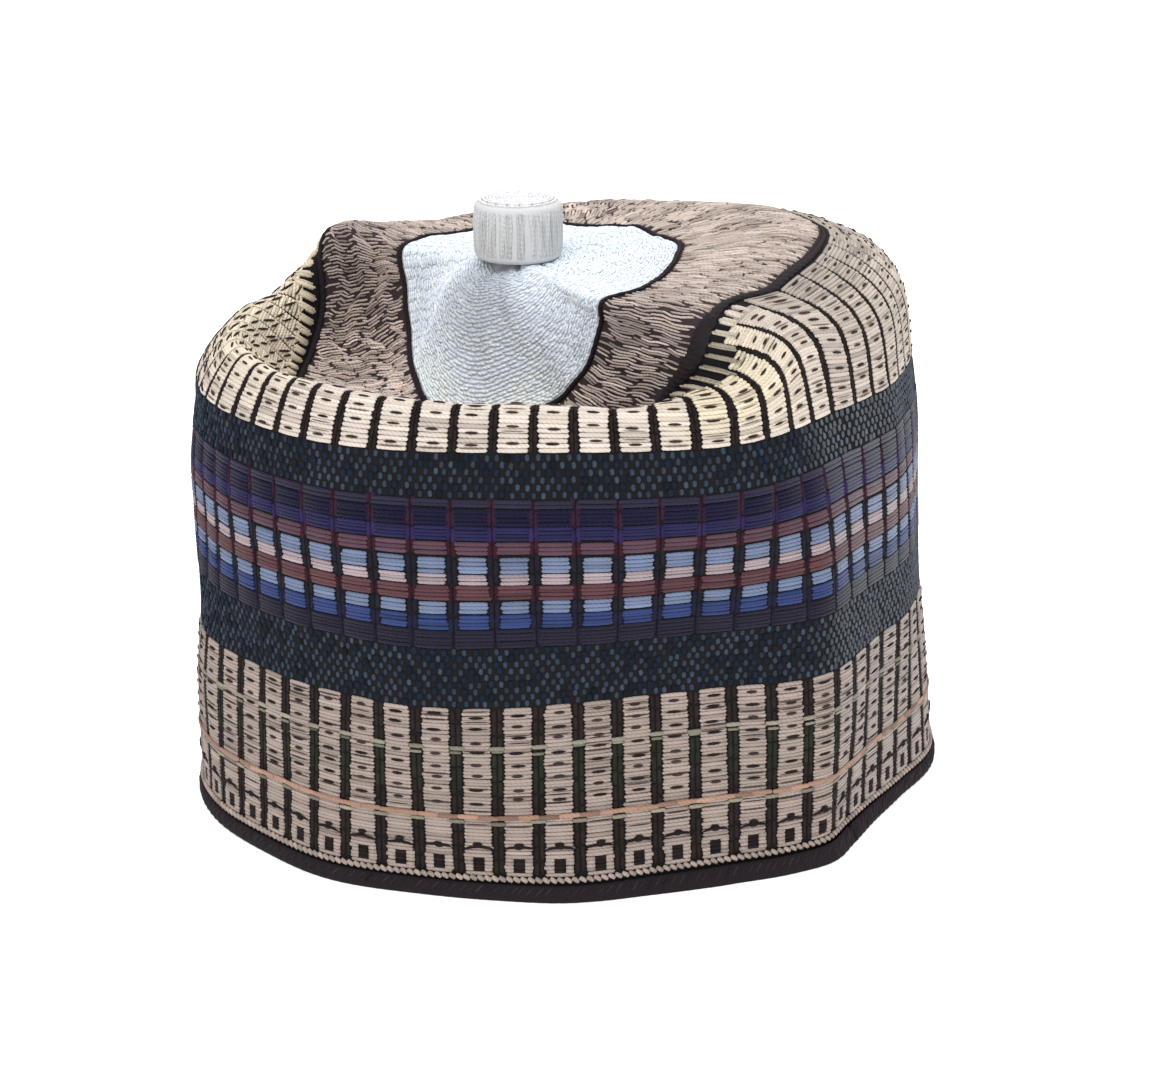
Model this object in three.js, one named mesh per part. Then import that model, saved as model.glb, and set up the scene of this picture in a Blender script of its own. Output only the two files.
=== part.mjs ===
// A soft embroidered cap that stands on its hem, in millimetres, +Z up, front towards -Y.
// The wall is a tall hollow band with a crease at the front right and another at the back left.
// The crown is folded along a line between the two creases: the half behind the fold stands up flat,
// and the half in front of it is tucked down behind the front rim.
import * as THREE from "three";

// Driving sizes
const outlineRadius = 90;
const rimHeight = 113;
const waistHeight = 49.4;
const crownHeight = 142.6;
const shoulderReach = 9;
const medallionReach = 44.5;
const clothThickness = 2.4;
const clearance = 0.3;
const cordClearance = 0.5;
const seamCordRadius = 1.5;
const medallionCordRadius = 0.9;
const bindingHeight = 4.3;
const bindingLip = 0.9;
const bindingFloor = 1.4;
const bindingGap = 1.2;
const buttonRadius = 11.5;
const buttonHeight = 15.7;
const buttonEdge = 1.8;
const footMargin = 1.5;

// Sizes that follow from them
const crownReach = outlineRadius - shoulderReach;
const footReach = buttonRadius + footMargin;
const crownRise = crownHeight - rimHeight;
const wallFoot = bindingFloor + clearance;

// The button stands off the middle of the cap, as shares of the outline radius.
const buttonPlace = { x: -0.146, y: -0.047 };

// The two creases: their direction from the cap's middle, and the fold's turn round the button.
const backCrease = { direction: 140, turn: 0 };
const frontCrease = { direction: 315, turn: 165 };

// Number of steps round the cap, round a cord and round the button
const roundSteps = 72;
const cordSides = 8;
const buttonSides = 36;

// Outline of the wall: direction from the middle in degrees, then the reach at the hem, at the
// waist and at the rim as shares of the outline radius. The front right is pushed in at the waist.
const outline = [
  [0, 1.072, 1.028, 0.983],
  [15, 1.106, 1.067, 1.039],
  [30, 1.122, 1.089, 1.078],
  [45, 1.122, 1.1, 1.094],
  [60, 1.089, 1.067, 1.061],
  [75, 1.05, 1.028, 1.022],
  [90, 1.022, 1.0, 0.994],
  [105, 1.011, 0.989, 0.978],
  [120, 1.017, 1.0, 0.989],
  [132, 1.039, 1.028, 1.022],
  [140, 1.056, 1.056, 1.05],
  [150, 1.05, 1.056, 1.05],
  [165, 1.078, 1.078, 1.072],
  [180, 1.106, 1.1, 1.083],
  [190, 1.116, 1.113, 1.087],
  [200, 1.106, 1.103, 1.076],
  [215, 1.07, 1.064, 1.053],
  [230, 1.052, 1.044, 1.032],
  [245, 1.0, 1.022, 0.976],
  [257, 0.978, 0.972, 0.931],
  [270, 0.971, 0.913, 0.912],
  [283, 0.936, 0.88, 0.931],
  [297, 0.939, 0.909, 0.96],
  [308, 0.978, 0.969, 0.939],
  [315, 0.996, 0.993, 0.917],
  [322, 0.967, 0.972, 0.899],
  [332, 0.952, 0.956, 0.906],
  [345, 0.987, 0.987, 0.939],
];

// Spokes of the crown, each a row: turn in degrees from the back crease, drop at the button's foot
// as a share of the foot's reach, medallion edge from the button as shares of the medallion's reach,
// crown seam from the button as shares of the crown's reach, then the rim's crest: its inset from
// the outline as a share of the outline radius and its rise as a share of the crown's rise.
const spokes = [
  { turn: 0, foot: 0.02, edge: [-0.71, 0.7, -0.08], seam: [-0.67, 0.65, -0.06], inset: 0.045, rise: 0.6 },
  { turn: 15, foot: 0.05, edge: [-0.7, 0.63, -0.28], seam: [-0.68, 0.58, -0.29], inset: 0.08, rise: 0.42 },
  { turn: 30, foot: 0.1, edge: [-0.68, 0.45, -0.53], seam: [-0.71, 0.46, -0.41], inset: 0.09, rise: 0.37 },
  { turn: 45, foot: 0.18, edge: [-0.63, 0.17, -0.69], seam: [-0.74, 0.3, -0.47], inset: 0.09, rise: 0.37 },
  { turn: 60, foot: 0.28, edge: [-0.56, -0.16, -0.78], seam: [-0.72, 0.05, -0.46], inset: 0.07, rise: 0.36 },
  { turn: 75, foot: 0.35, edge: [-0.44, -0.31, -0.87], seam: [-0.61, -0.26, -0.44], inset: 0.055, rise: 0.36 },
  { turn: 90, foot: 0.37, edge: [-0.25, -0.42, -0.89], seam: [-0.43, -0.52, -0.43], inset: 0.05, rise: 0.36 },
  { turn: 105, foot: 0.35, edge: [-0.05, -0.46, -0.83], seam: [-0.17, -0.68, -0.42], inset: 0.045, rise: 0.36 },
  { turn: 120, foot: 0.28, edge: [0.16, -0.57, -0.72], seam: [0.12, -0.73, -0.39], inset: 0.045, rise: 0.34 },
  { turn: 135, foot: 0.17, edge: [0.29, -0.69, -0.6], seam: [0.36, -0.72, -0.35], inset: 0.045, rise: 0.3 },
  { turn: 146, foot: 0.09, edge: [0.4, -0.78, -0.42], seam: [0.47, -0.73, -0.23], inset: 0.045, rise: 0.33 },
  { turn: 156, foot: 0.04, edge: [0.48, -0.85, -0.17], seam: [0.53, -0.78, -0.12], inset: 0.05, rise: 0.42 },
  { turn: 165, foot: 0.03, edge: [0.5, -0.91, -0.03], seam: [0.57, -0.82, -0.01], inset: 0.06, rise: 0.53 },
  { turn: 172, foot: 0.02, edge: [0.7, -0.77, 0.0], seam: [0.64, -0.69, 0.02], inset: 0.06, rise: 0.58 },
  { turn: 178, foot: 0.01, edge: [0.79, -0.55, 0.01], seam: [0.76, -0.52, 0.01], inset: 0.06, rise: 0.65 },
  { turn: 185, foot: 0.0, edge: [0.86, -0.34, 0.02], seam: [0.84, -0.33, 0.02], inset: 0.055, rise: 0.67 },
  { turn: 191, foot: 0.0, edge: [0.9, -0.18, 0.02], seam: [0.9, -0.17, 0.02], inset: 0.05, rise: 0.68 },
  { turn: 198, foot: 0.0, edge: [0.92, -0.03, 0.02], seam: [0.94, -0.03, 0.02], inset: 0.05, rise: 0.68 },
  { turn: 211, foot: 0.0, edge: [0.94, 0.23, 0.02], seam: [0.99, 0.24, 0.02], inset: 0.045, rise: 0.68 },
  { turn: 229, foot: 0.0, edge: [0.86, 0.46, 0.02], seam: [0.96, 0.5, 0.01], inset: 0.04, rise: 0.69 },
  { turn: 245, foot: 0.0, edge: [0.77, 0.65, 0.01], seam: [0.85, 0.7, 0.01], inset: 0.04, rise: 0.69 },
  { turn: 261, foot: 0.0, edge: [0.63, 0.8, 0.01], seam: [0.67, 0.83, 0.0], inset: 0.04, rise: 0.68 },
  { turn: 279, foot: 0.0, edge: [0.4, 0.91, 0.0], seam: [0.41, 0.9, 0.0], inset: 0.045, rise: 0.67 },
  { turn: 300, foot: 0.0, edge: [0.1, 0.96, 0.0], seam: [0.11, 0.93, -0.01], inset: 0.05, rise: 0.66 },
  { turn: 322, foot: 0.0, edge: [-0.21, 0.95, -0.01], seam: [-0.21, 0.91, -0.02], inset: 0.05, rise: 0.65 },
  { turn: 342, foot: 0.01, edge: [-0.48, 0.86, -0.04], seam: [-0.47, 0.81, -0.04], inset: 0.05, rise: 0.62 },
];

// A smooth value between the rows of a table, by cubic pieces whose slopes follow the rows beside them.
function smooth(knots, rows, at) {
  let k = 1;
  while (k < knots.length - 3 && knots[k + 1] <= at) {
    k += 1;
  }
  const step = (a) => knots[a + 1] - knots[a];
  const slope = (a, c) => (rows[a + 1][c] - rows[a][c]) / step(a);
  const lean = (a, c) => (slope(a - 1, c) * step(a) + slope(a, c) * step(a - 1)) / (step(a - 1) + step(a));
  const t = (at - knots[k]) / step(k);
  const keep = 2 * t ** 3 - 3 * t ** 2 + 1;
  const out = t ** 3 - 2 * t ** 2 + t;
  const into = t ** 3 - t ** 2;
  return rows[k].map((value, c) => keep * value + (1 - keep) * rows[k + 1][c]
    + step(k) * (out * lean(k, c) + into * lean(k + 1, c)));
}

// The same round a full turn, where the last row meets the first
function smoothRound(rows, at) {
  const turn = 360;
  const ahead = rows.slice(0, 3).map((row) => [row[0] + turn, ...row.slice(1)]);
  const behind = rows.slice(-2).map((row) => [row[0] - turn, ...row.slice(1)]);
  const all = [...behind, ...rows, ...ahead];
  const place = ((at - rows[0][0]) % turn + turn) % turn + rows[0][0];
  return smooth(all.map((row) => row[0]), all.map((row) => row.slice(1)), place);
}

function direction(degrees) {
  return new THREE.Vector3(Math.cos(THREE.MathUtils.degToRad(degrees)), Math.sin(THREE.MathUtils.degToRad(degrees)), 0);
}

const buttonFoot = new THREE.Vector3(buttonPlace.x * outlineRadius, buttonPlace.y * outlineRadius, crownHeight);

// Length of the rim's outline up to each degree, so that the cloth is shared out evenly between the creases
const rimLengths = [0];
for (let degree = 1; degree <= 360; degree += 1) {
  const ends = [degree - 1, degree].map((at) => direction(at).multiplyScalar(smoothRound(outline, at)[2]));
  rimLengths.push(rimLengths[degree - 1] + ends[0].distanceTo(ends[1]));
}

function rimLength(degrees) {
  const laps = Math.floor(degrees / 360);
  const at = degrees - laps * 360;
  const low = Math.min(Math.floor(at), 359);
  return laps * rimLengths[360] + THREE.MathUtils.lerp(rimLengths[low], rimLengths[low + 1], at - low);
}

// Direction from the cap's middle where the spoke of a given turn comes down the wall
function wallDirection(turn) {
  const before = turn < frontCrease.turn;
  const from = before ? backCrease : frontCrease;
  const to = before ? frontCrease : { direction: backCrease.direction + 360, turn: 360 };
  const share = (turn - from.turn) / (to.turn - from.turn);
  const length = THREE.MathUtils.lerp(rimLength(from.direction), rimLength(to.direction), share);
  const halvings = 30;
  let low = from.direction;
  let high = to.direction;
  for (let halving = 0; halving < halvings; halving += 1) {
    const half = (low + high) / 2;
    if (rimLength(half) < length) {
      low = half;
    } else {
      high = half;
    }
  }
  return (low + high) / 2;
}

// Point of the outer cloth on the straight wall
function wallPoint(degrees, height) {
  const [hem, waist, rim] = smoothRound(outline, degrees);
  const below = 2 * bindingHeight - waistHeight;
  const above = 2 * rimHeight - waistHeight;
  const knots = [below, bindingHeight, waistHeight, rimHeight, above];
  const reaches = [[2 * hem - waist], [hem], [waist], [rim], [2 * rim - waist]];
  const reach = smooth(knots, reaches, height)[0] * outlineRadius;
  return direction(degrees).multiplyScalar(reach).setZ(height);
}

// Stations down one spoke, from the button to the hem, and the direction of the first spoke's foot
const firstFoot = 135;
const station = { middle: 0, foot: 1, edge: 2, seam: 3, crest: 4, rim: 5, waist: 6, hem: 7 };
const spokeRows = spokes.map((row) => [row.turn, row.foot, ...row.edge, ...row.seam, row.inset, row.rise]);

function spokeStations(turn) {
  const row = smoothRound(spokeRows, turn);
  const down = wallDirection(turn);
  const edge = new THREE.Vector3(...row.slice(1, 4)).multiplyScalar(medallionReach).add(buttonFoot);
  const seam = new THREE.Vector3(...row.slice(4, 7)).multiplyScalar(crownReach).add(buttonFoot);
  const foot = direction(firstFoot + turn).setZ(-row[0]).multiplyScalar(footReach).add(buttonFoot);
  const rim = wallPoint(down, rimHeight);
  const crest = rim.clone().addScaledVector(direction(down), -row[7] * outlineRadius);
  crest.z = rimHeight + row[8] * crownRise;
  return [buttonFoot, foot, edge, seam, crest, rim, wallPoint(down, waistHeight), wallPoint(down, wallFoot)];
}

// One spoke as a smooth curve through its stations, with the length of cloth up to each station
function makeSpoke(turn) {
  const points = spokeStations(turn);
  const lengths = [0];
  for (let k = 1; k < points.length; k += 1) {
    lengths.push(lengths[k - 1] + points[k].distanceTo(points[k - 1]));
  }
  const last = points.length - 1;
  const knots = [-lengths[1], ...lengths, 2 * lengths[last] - lengths[last - 1]];
  const ends = [
    points[0].clone().multiplyScalar(2).sub(points[1]),
    points[last].clone().multiplyScalar(2).sub(points[last - 1]),
  ];
  const rows = [ends[0], ...points, ends[1]].map((point) => point.toArray());
  const at = (length) => new THREE.Vector3(...smooth(knots, rows, length));
  return { turn, lengths, at };
}

const spokesRound = [];
for (let i = 0; i < roundSteps; i += 1) {
  spokesRound.push(makeSpoke((360 * i) / roundSteps));
}

// A ring of cloth points, one on each spoke, at a length that lengthOf picks, each with its outward normal
function clothRing(lengthOf) {
  const nudge = 0.5;
  const points = spokesRound.map((spoke, i) => spoke.at(lengthOf(spoke, i)));
  return points.map((outer, i) => {
    const spoke = spokesRound[i];
    const length = lengthOf(spoke, i);
    const along = spoke.at(length + nudge).sub(spoke.at(length - nudge)).normalize();
    const next = points[(i + 1) % roundSteps];
    const previous = points[(i + roundSteps - 1) % roundSteps];
    const round = next.clone().sub(previous).normalize();
    const normal = along.clone().cross(round).normalize();
    const across = round.clone().cross(normal).normalize();
    const inner = outer.clone().addScaledVector(normal, -clothThickness);
    return { outer, inner, normal, across };
  });
}

// Middle line of the cord along a station, half way into the cloth
function cordMiddles(place) {
  return clothRing((spoke) => spoke.lengths[place]).map(({ outer, inner }) => outer.clone().lerp(inner, 0.5));
}

// Least distance from a ring's edge, between one spoke and the next, to the middle line of a cord
function edgeDistance(ring, i, middles) {
  const nearSpokes = 4;
  const shares = [0, 0.25, 0.5, 0.75, 1];
  const after = ring[(i + 1) % roundSteps];
  const edgePoints = shares.flatMap((share) => {
    const outer = ring[i].outer.clone().lerp(after.outer, share);
    const inner = ring[i].inner.clone().lerp(after.inner, share);
    return shares.map((depth) => outer.clone().lerp(inner, depth));
  });
  const segment = new THREE.Line3();
  const nearest = new THREE.Vector3();
  let least = Infinity;
  for (let step = -nearSpokes; step <= nearSpokes; step += 1) {
    const start = (i + step + roundSteps) % roundSteps;
    segment.set(middles[start], middles[(start + 1) % roundSteps]);
    edgePoints.forEach((point) => {
      segment.closestPointToPoint(point, true, nearest);
      least = Math.min(least, nearest.distanceTo(point));
    });
  }
  return least;
}

// Length that the cloth is cut back on each spoke, ahead of a station (1) or behind it (-1), so that
// its edge stays clear of the cord there, however the cloth bends or the spoke slants.
function cutBack(place, side, radius) {
  const passes = 16;
  const middles = cordMiddles(place);
  const distance = radius + cordClearance;
  const cuts = spokesRound.map(() => distance);
  for (let pass = 0; pass < passes; pass += 1) {
    const ring = clothRing((spoke, i) => spoke.lengths[place] + side * cuts[i]);
    const short = ring.map((point, i) => Math.max(0, distance - edgeDistance(ring, i, middles)));
    cuts.forEach((cut, i) => {
      cuts[i] = cut + Math.max(short[i], short[(i + roundSteps - 1) % roundSteps]);
    });
  }
  return cuts;
}

const uncut = spokesRound.map(() => 0);

// A ring part way between two stations whose ends are cut back
function ringBetween(from, to, share, startCuts = uncut, endCuts = uncut) {
  return clothRing((spoke, i) => THREE.MathUtils.lerp(
    spoke.lengths[from] + startCuts[i],
    spoke.lengths[to] - endCuts[i],
    share,
  ));
}

function bodyGeometry(points, triangles) {
  const geometry = new THREE.BufferGeometry();
  geometry.setAttribute("position", new THREE.Float32BufferAttribute(points.flatMap((p) => p.toArray()), 3));
  geometry.setIndex(triangles);
  geometry.computeVertexNormals();
  return geometry;
}

// Closed body swept round the cap from sections with the same number of points, each a closed loop
function sweptRound(sections, isClosed) {
  const count = sections[0].length;
  const triangles = [];
  const joins = isClosed ? sections.length : sections.length - 1;
  for (let i = 0; i < joins; i += 1) {
    const here = i * count;
    const there = ((i + 1) % sections.length) * count;
    for (let j = 0; j < count; j += 1) {
      const next = (j + 1) % count;
      triangles.push(here + j, there + next, there + j);
      triangles.push(here + j, here + next, there + next);
    }
  }
  return { points: sections.flat(), triangles };
}

// Shell of cloth between its first and last ring, with the outer face, the inner face and both edges
function clothShell(rings) {
  const sections = rings[0].map((unused, i) => [
    ...rings.map((ring) => ring[i].outer),
    ...rings.map((ring) => ring[i].inner).reverse(),
  ]);
  const { points, triangles } = sweptRound(sections, true);
  return bodyGeometry(points, triangles);
}

// Round shell whose first ring shrinks to the point under the button
function clothDisc(rings) {
  const top = buttonFoot;
  const under = buttonFoot.clone().setZ(crownHeight - clothThickness);
  const outerStart = 2;
  const innerStart = outerStart + rings.length * roundSteps;
  const points = [top, under, ...rings.flatMap((ring) => ring.map((p) => p.outer))];
  points.push(...rings.flatMap((ring) => ring.map((p) => p.inner)));
  const triangles = [];
  for (let i = 0; i < roundSteps; i += 1) {
    const next = (i + 1) % roundSteps;
    triangles.push(0, outerStart + i, outerStart + next);
    triangles.push(1, innerStart + next, innerStart + i);
    for (let k = 0; k < rings.length - 1; k += 1) {
      const near = k * roundSteps;
      const far = (k + 1) * roundSteps;
      triangles.push(outerStart + near + i, outerStart + far + i, outerStart + far + next);
      triangles.push(outerStart + near + i, outerStart + far + next, outerStart + near + next);
      triangles.push(innerStart + near + i, innerStart + far + next, innerStart + far + i);
      triangles.push(innerStart + near + i, innerStart + near + next, innerStart + far + next);
    }
    const rimRing = (rings.length - 1) * roundSteps;
    triangles.push(outerStart + rimRing + i, innerStart + rimRing + i, innerStart + rimRing + next);
    triangles.push(outerStart + rimRing + i, innerStart + rimRing + next, outerStart + rimRing + next);
  }
  return bodyGeometry(points, triangles);
}

// Round cord laid in the cloth's thickness along one station
function cordGeometry(place, radius) {
  const ring = clothRing((spoke) => spoke.lengths[place]);
  const sections = ring.map(({ outer, across, normal }) => {
    const centre = outer.clone().addScaledVector(normal, -clothThickness / 2);
    const section = [];
    for (let side = 0; side < cordSides; side += 1) {
      const angle = (2 * Math.PI * side) / cordSides;
      section.push(centre.clone()
        .addScaledVector(across, radius * Math.sin(angle))
        .addScaledVector(normal, radius * Math.cos(angle)));
    }
    return section;
  });
  const { points, triangles } = sweptRound(sections, true);
  return bodyGeometry(points, triangles);
}

// Embroidered wall from the crown seam over the rolled rim and down into the hem binding
function sideWallGeometry() {
  const seamCuts = cutBack(station.seam, 1, seamCordRadius);
  const toCrest = [0, 0.35, 0.7].map((share) => ringBetween(station.seam, station.crest, share, seamCuts));
  const toRim = [0, 0.35, 0.7].map((share) => ringBetween(station.crest, station.rim, share));
  const toWaist = [0, 0.5].map((share) => ringBetween(station.rim, station.waist, share));
  const toHem = [0, 0.5, 1].map((share) => ringBetween(station.waist, station.hem, share));
  return clothShell([...toCrest, ...toRim, ...toWaist, ...toHem]);
}

// Zigzag-stitched ring of the crown between the medallion's cord and the crown seam
function crownPanelGeometry() {
  const shares = [0, 0.2, 0.4, 0.6, 0.8, 1];
  const edgeCuts = cutBack(station.edge, 1, medallionCordRadius);
  const seamCuts = cutBack(station.seam, -1, seamCordRadius);
  return clothShell(shares.map((share) => ringBetween(station.edge, station.seam, share, edgeCuts, seamCuts)));
}

// White stitched round in the middle of the crown
function medallionGeometry() {
  const edgeCuts = cutBack(station.edge, -1, medallionCordRadius);
  const underButton = [0.6].map((share) => ringBetween(station.middle, station.foot, share));
  const toEdge = [0, 0.3, 0.65, 1].map((share) => ringBetween(station.foot, station.edge, share, uncut, edgeCuts));
  return clothDisc([...underButton, ...toEdge]);
}

// Folded strip round the wall's lower edge: a channel that the wall stands in, butted at its ends.
// Its sections stand where the spokes come down, so both pieces are built of the same straight runs.
function bindingGeometry() {
  const buttDirection = 323;
  const halfGap = THREE.MathUtils.radToDeg(bindingGap / 2 / outlineRadius);
  const ahead = (degrees) => ((degrees - buttDirection) % 360 + 360) % 360;
  const spokeTurns = spokesRound.map((spoke) => ahead(wallDirection(spoke.turn))).sort((a, b) => a - b);
  const turns = [halfGap, ...spokeTurns, 360 - halfGap];
  const nudge = 1;
  const lipOut = clearance + bindingLip;
  const inward = -clothThickness - clearance;
  const lipIn = inward - bindingLip;
  const sections = turns.map((turn) => {
    const degrees = buttDirection + turn;
    const across = wallPoint(degrees + nudge, wallFoot).sub(wallPoint(degrees - nudge, wallFoot)).normalize();
    const out = new THREE.Vector3(across.y, -across.x, 0);
    const low = wallPoint(degrees, wallFoot);
    const high = wallPoint(degrees, bindingHeight);
    const at = (base, reach, height) => base.clone().addScaledVector(out, reach).setZ(height);
    return [
      at(low, lipIn, 0),
      at(high, lipIn, bindingHeight),
      at(high, inward, bindingHeight),
      at(low, inward, bindingFloor),
      at(low, clearance, bindingFloor),
      at(high, clearance, bindingHeight),
      at(high, lipOut, bindingHeight),
      at(low, lipOut, 0),
    ];
  });
  const { points, triangles } = sweptRound(sections, false);
  const endFace = [[0, 1, 2], [0, 2, 3], [0, 3, 7], [3, 4, 7], [4, 5, 6], [4, 6, 7]];
  const end = (sections.length - 1) * sections[0].length;
  endFace.forEach(([a, b, c]) => {
    triangles.push(a, c, b);
    triangles.push(end + a, end + b, end + c);
  });
  return bodyGeometry(points, triangles);
}

// Thread-wrapped button, round and flat-topped. Its rounded edge is given from the flat to the side:
// how far in from the side and how far from the flat, as shares of the edge's size.
function buttonGeometry() {
  const edge = [[1, 0], [0.3, 0.4], [0, 1.4]];
  const lower = edge.map(([inset, rise]) => [buttonRadius - inset * buttonEdge, rise * buttonEdge]);
  const upper = lower.map(([reach, height]) => [reach, buttonHeight - height]).reverse();
  const profile = [[0, 0], ...lower, ...upper, [0, buttonHeight]];
  return new THREE.LatheGeometry(profile.map(([x, y]) => new THREE.Vector2(x, y)), buttonSides);
}

function cloth(colour) {
  return new THREE.MeshStandardMaterial({ color: colour, roughness: 0.9, metalness: 0 });
}

function piece(name, geometry, colour) {
  const mesh = new THREE.Mesh(geometry, cloth(colour));
  mesh.name = name;
  return mesh;
}

const cap = new THREE.Group();
cap.add(piece("side_wall", sideWallGeometry(), 0xbeafa5));
cap.add(piece("crown_panel", crownPanelGeometry(), 0xb2a096));
cap.add(piece("centre_medallion", medallionGeometry(), 0xeff4fa));
cap.add(piece("crown_seam_cord", cordGeometry(station.seam, seamCordRadius), 0x231e23));
cap.add(piece("medallion_cord", cordGeometry(station.edge, medallionCordRadius), 0x231e23));
cap.add(piece("hem_binding", bindingGeometry(), 0x2d2328));

const button = piece("top_button", buttonGeometry(), 0xf4f4f2);
button.rotation.x = Math.PI / 2;
button.position.copy(buttonFoot);
button.position.z += clearance;
cap.add(button);

// The middle of the whole cap's plan stands over the origin.
const bounds = new THREE.Box3().setFromObject(cap);
const boundsMiddle = bounds.getCenter(new THREE.Vector3());
cap.position.set(-boundsMiddle.x, -boundsMiddle.y, 0);

export default cap;
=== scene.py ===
# %% [markdown]
# A soft embroidered cap stands on its hem. Its wall is covered with cream columns of satin stitch between
# dark bars, crossed by a band of blue, cream and brown stripes. The crown is folded in on itself: the half
# behind the fold lies flat on top, and the half in front of it is tucked down behind the front rim.
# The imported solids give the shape. Here the cloth is made again with a smooth surface, and every thread
# that would be seen is laid on it as real geometry, so that the pattern follows each fold and dent.

import math

import bmesh
import bpy
import numpy as np
from mathutils import Euler, Matrix, Vector


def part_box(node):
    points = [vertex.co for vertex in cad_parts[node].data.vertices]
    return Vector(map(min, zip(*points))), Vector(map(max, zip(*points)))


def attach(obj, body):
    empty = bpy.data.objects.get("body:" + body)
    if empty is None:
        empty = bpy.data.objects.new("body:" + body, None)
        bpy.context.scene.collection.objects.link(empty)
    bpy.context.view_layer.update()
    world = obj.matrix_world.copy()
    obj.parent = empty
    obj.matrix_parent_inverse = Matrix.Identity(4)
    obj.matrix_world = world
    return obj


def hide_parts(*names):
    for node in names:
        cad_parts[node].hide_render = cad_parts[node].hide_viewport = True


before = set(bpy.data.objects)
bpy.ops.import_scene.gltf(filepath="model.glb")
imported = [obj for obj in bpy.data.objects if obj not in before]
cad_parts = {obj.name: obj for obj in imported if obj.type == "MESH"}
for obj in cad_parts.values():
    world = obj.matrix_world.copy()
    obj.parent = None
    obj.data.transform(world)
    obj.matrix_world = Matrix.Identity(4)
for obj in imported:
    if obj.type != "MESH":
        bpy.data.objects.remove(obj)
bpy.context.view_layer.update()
MM = 0.001
chance = np.random.default_rng(7)
print("solids:", sorted(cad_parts))

# %% [markdown]
# The cloth is one surface. It is given by spokes that run from under the button, over the edge of the
# white medallion and the crown seam, up to the rim's crest and down the wall to the hem. A spoke is a
# smooth curve through those stations. The two tables are the ones that the solids were built from, so a
# point found here lies on the solid, but for two soft places that the photograph shows a little lower or
# flatter. All sizes are in millimetres until a mesh is made.

# %% Sizes and tables of the cloth
OUTLINE_RADIUS, RIM_HEIGHT, WAIST_HEIGHT, CROWN_HEIGHT = 90, 113, 49.4, 142.6
CROWN_REACH, MEDALLION_REACH, FOOT_REACH = 81, 44.5, 13
CROWN_RISE = CROWN_HEIGHT - RIM_HEIGHT
CLOTH, BINDING_HEIGHT, WALL_FOOT = 2.4, 4.3, 1.7
BUTTON_FOOT = np.array([-0.146 * OUTLINE_RADIUS, -0.047 * OUTLINE_RADIUS, CROWN_HEIGHT])
BACK_CREASE, FRONT_CREASE, FRONT_TURN, FIRST_FOOT = 140, 315, 165, 135

# Stations of a spoke that are named below, counted from the button's middle
FOOT, EDGE, SEAM, RIM, HEM = 1, 2, 3, 5, 7

# Direction from the middle, then the reach at the hem, the waist and the rim as shares of the radius
OUTLINE = np.array([
    [0, 1.072, 1.028, 0.983], [15, 1.106, 1.067, 1.039], [30, 1.122, 1.089, 1.078],
    [45, 1.122, 1.1, 1.094], [60, 1.089, 1.067, 1.061], [75, 1.05, 1.028, 1.022],
    [90, 1.022, 1.0, 0.994], [105, 1.011, 0.989, 0.978], [120, 1.017, 1.0, 0.989],
    [132, 1.039, 1.028, 1.022], [140, 1.056, 1.056, 1.05], [150, 1.05, 1.056, 1.05],
    [165, 1.078, 1.078, 1.072], [180, 1.106, 1.1, 1.083], [190, 1.116, 1.113, 1.087],
    [200, 1.106, 1.103, 1.076], [215, 1.07, 1.064, 1.053], [230, 1.052, 1.044, 1.032],
    [245, 1.0, 1.022, 0.976], [257, 0.978, 0.972, 0.931], [270, 0.971, 0.913, 0.912],
    [283, 0.936, 0.88, 0.931], [297, 0.939, 0.909, 0.96], [308, 0.978, 0.969, 0.939],
    [315, 0.996, 0.993, 0.917], [322, 0.967, 0.972, 0.899], [332, 0.952, 0.956, 0.906],
    [345, 0.987, 0.987, 0.939],
])

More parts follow.
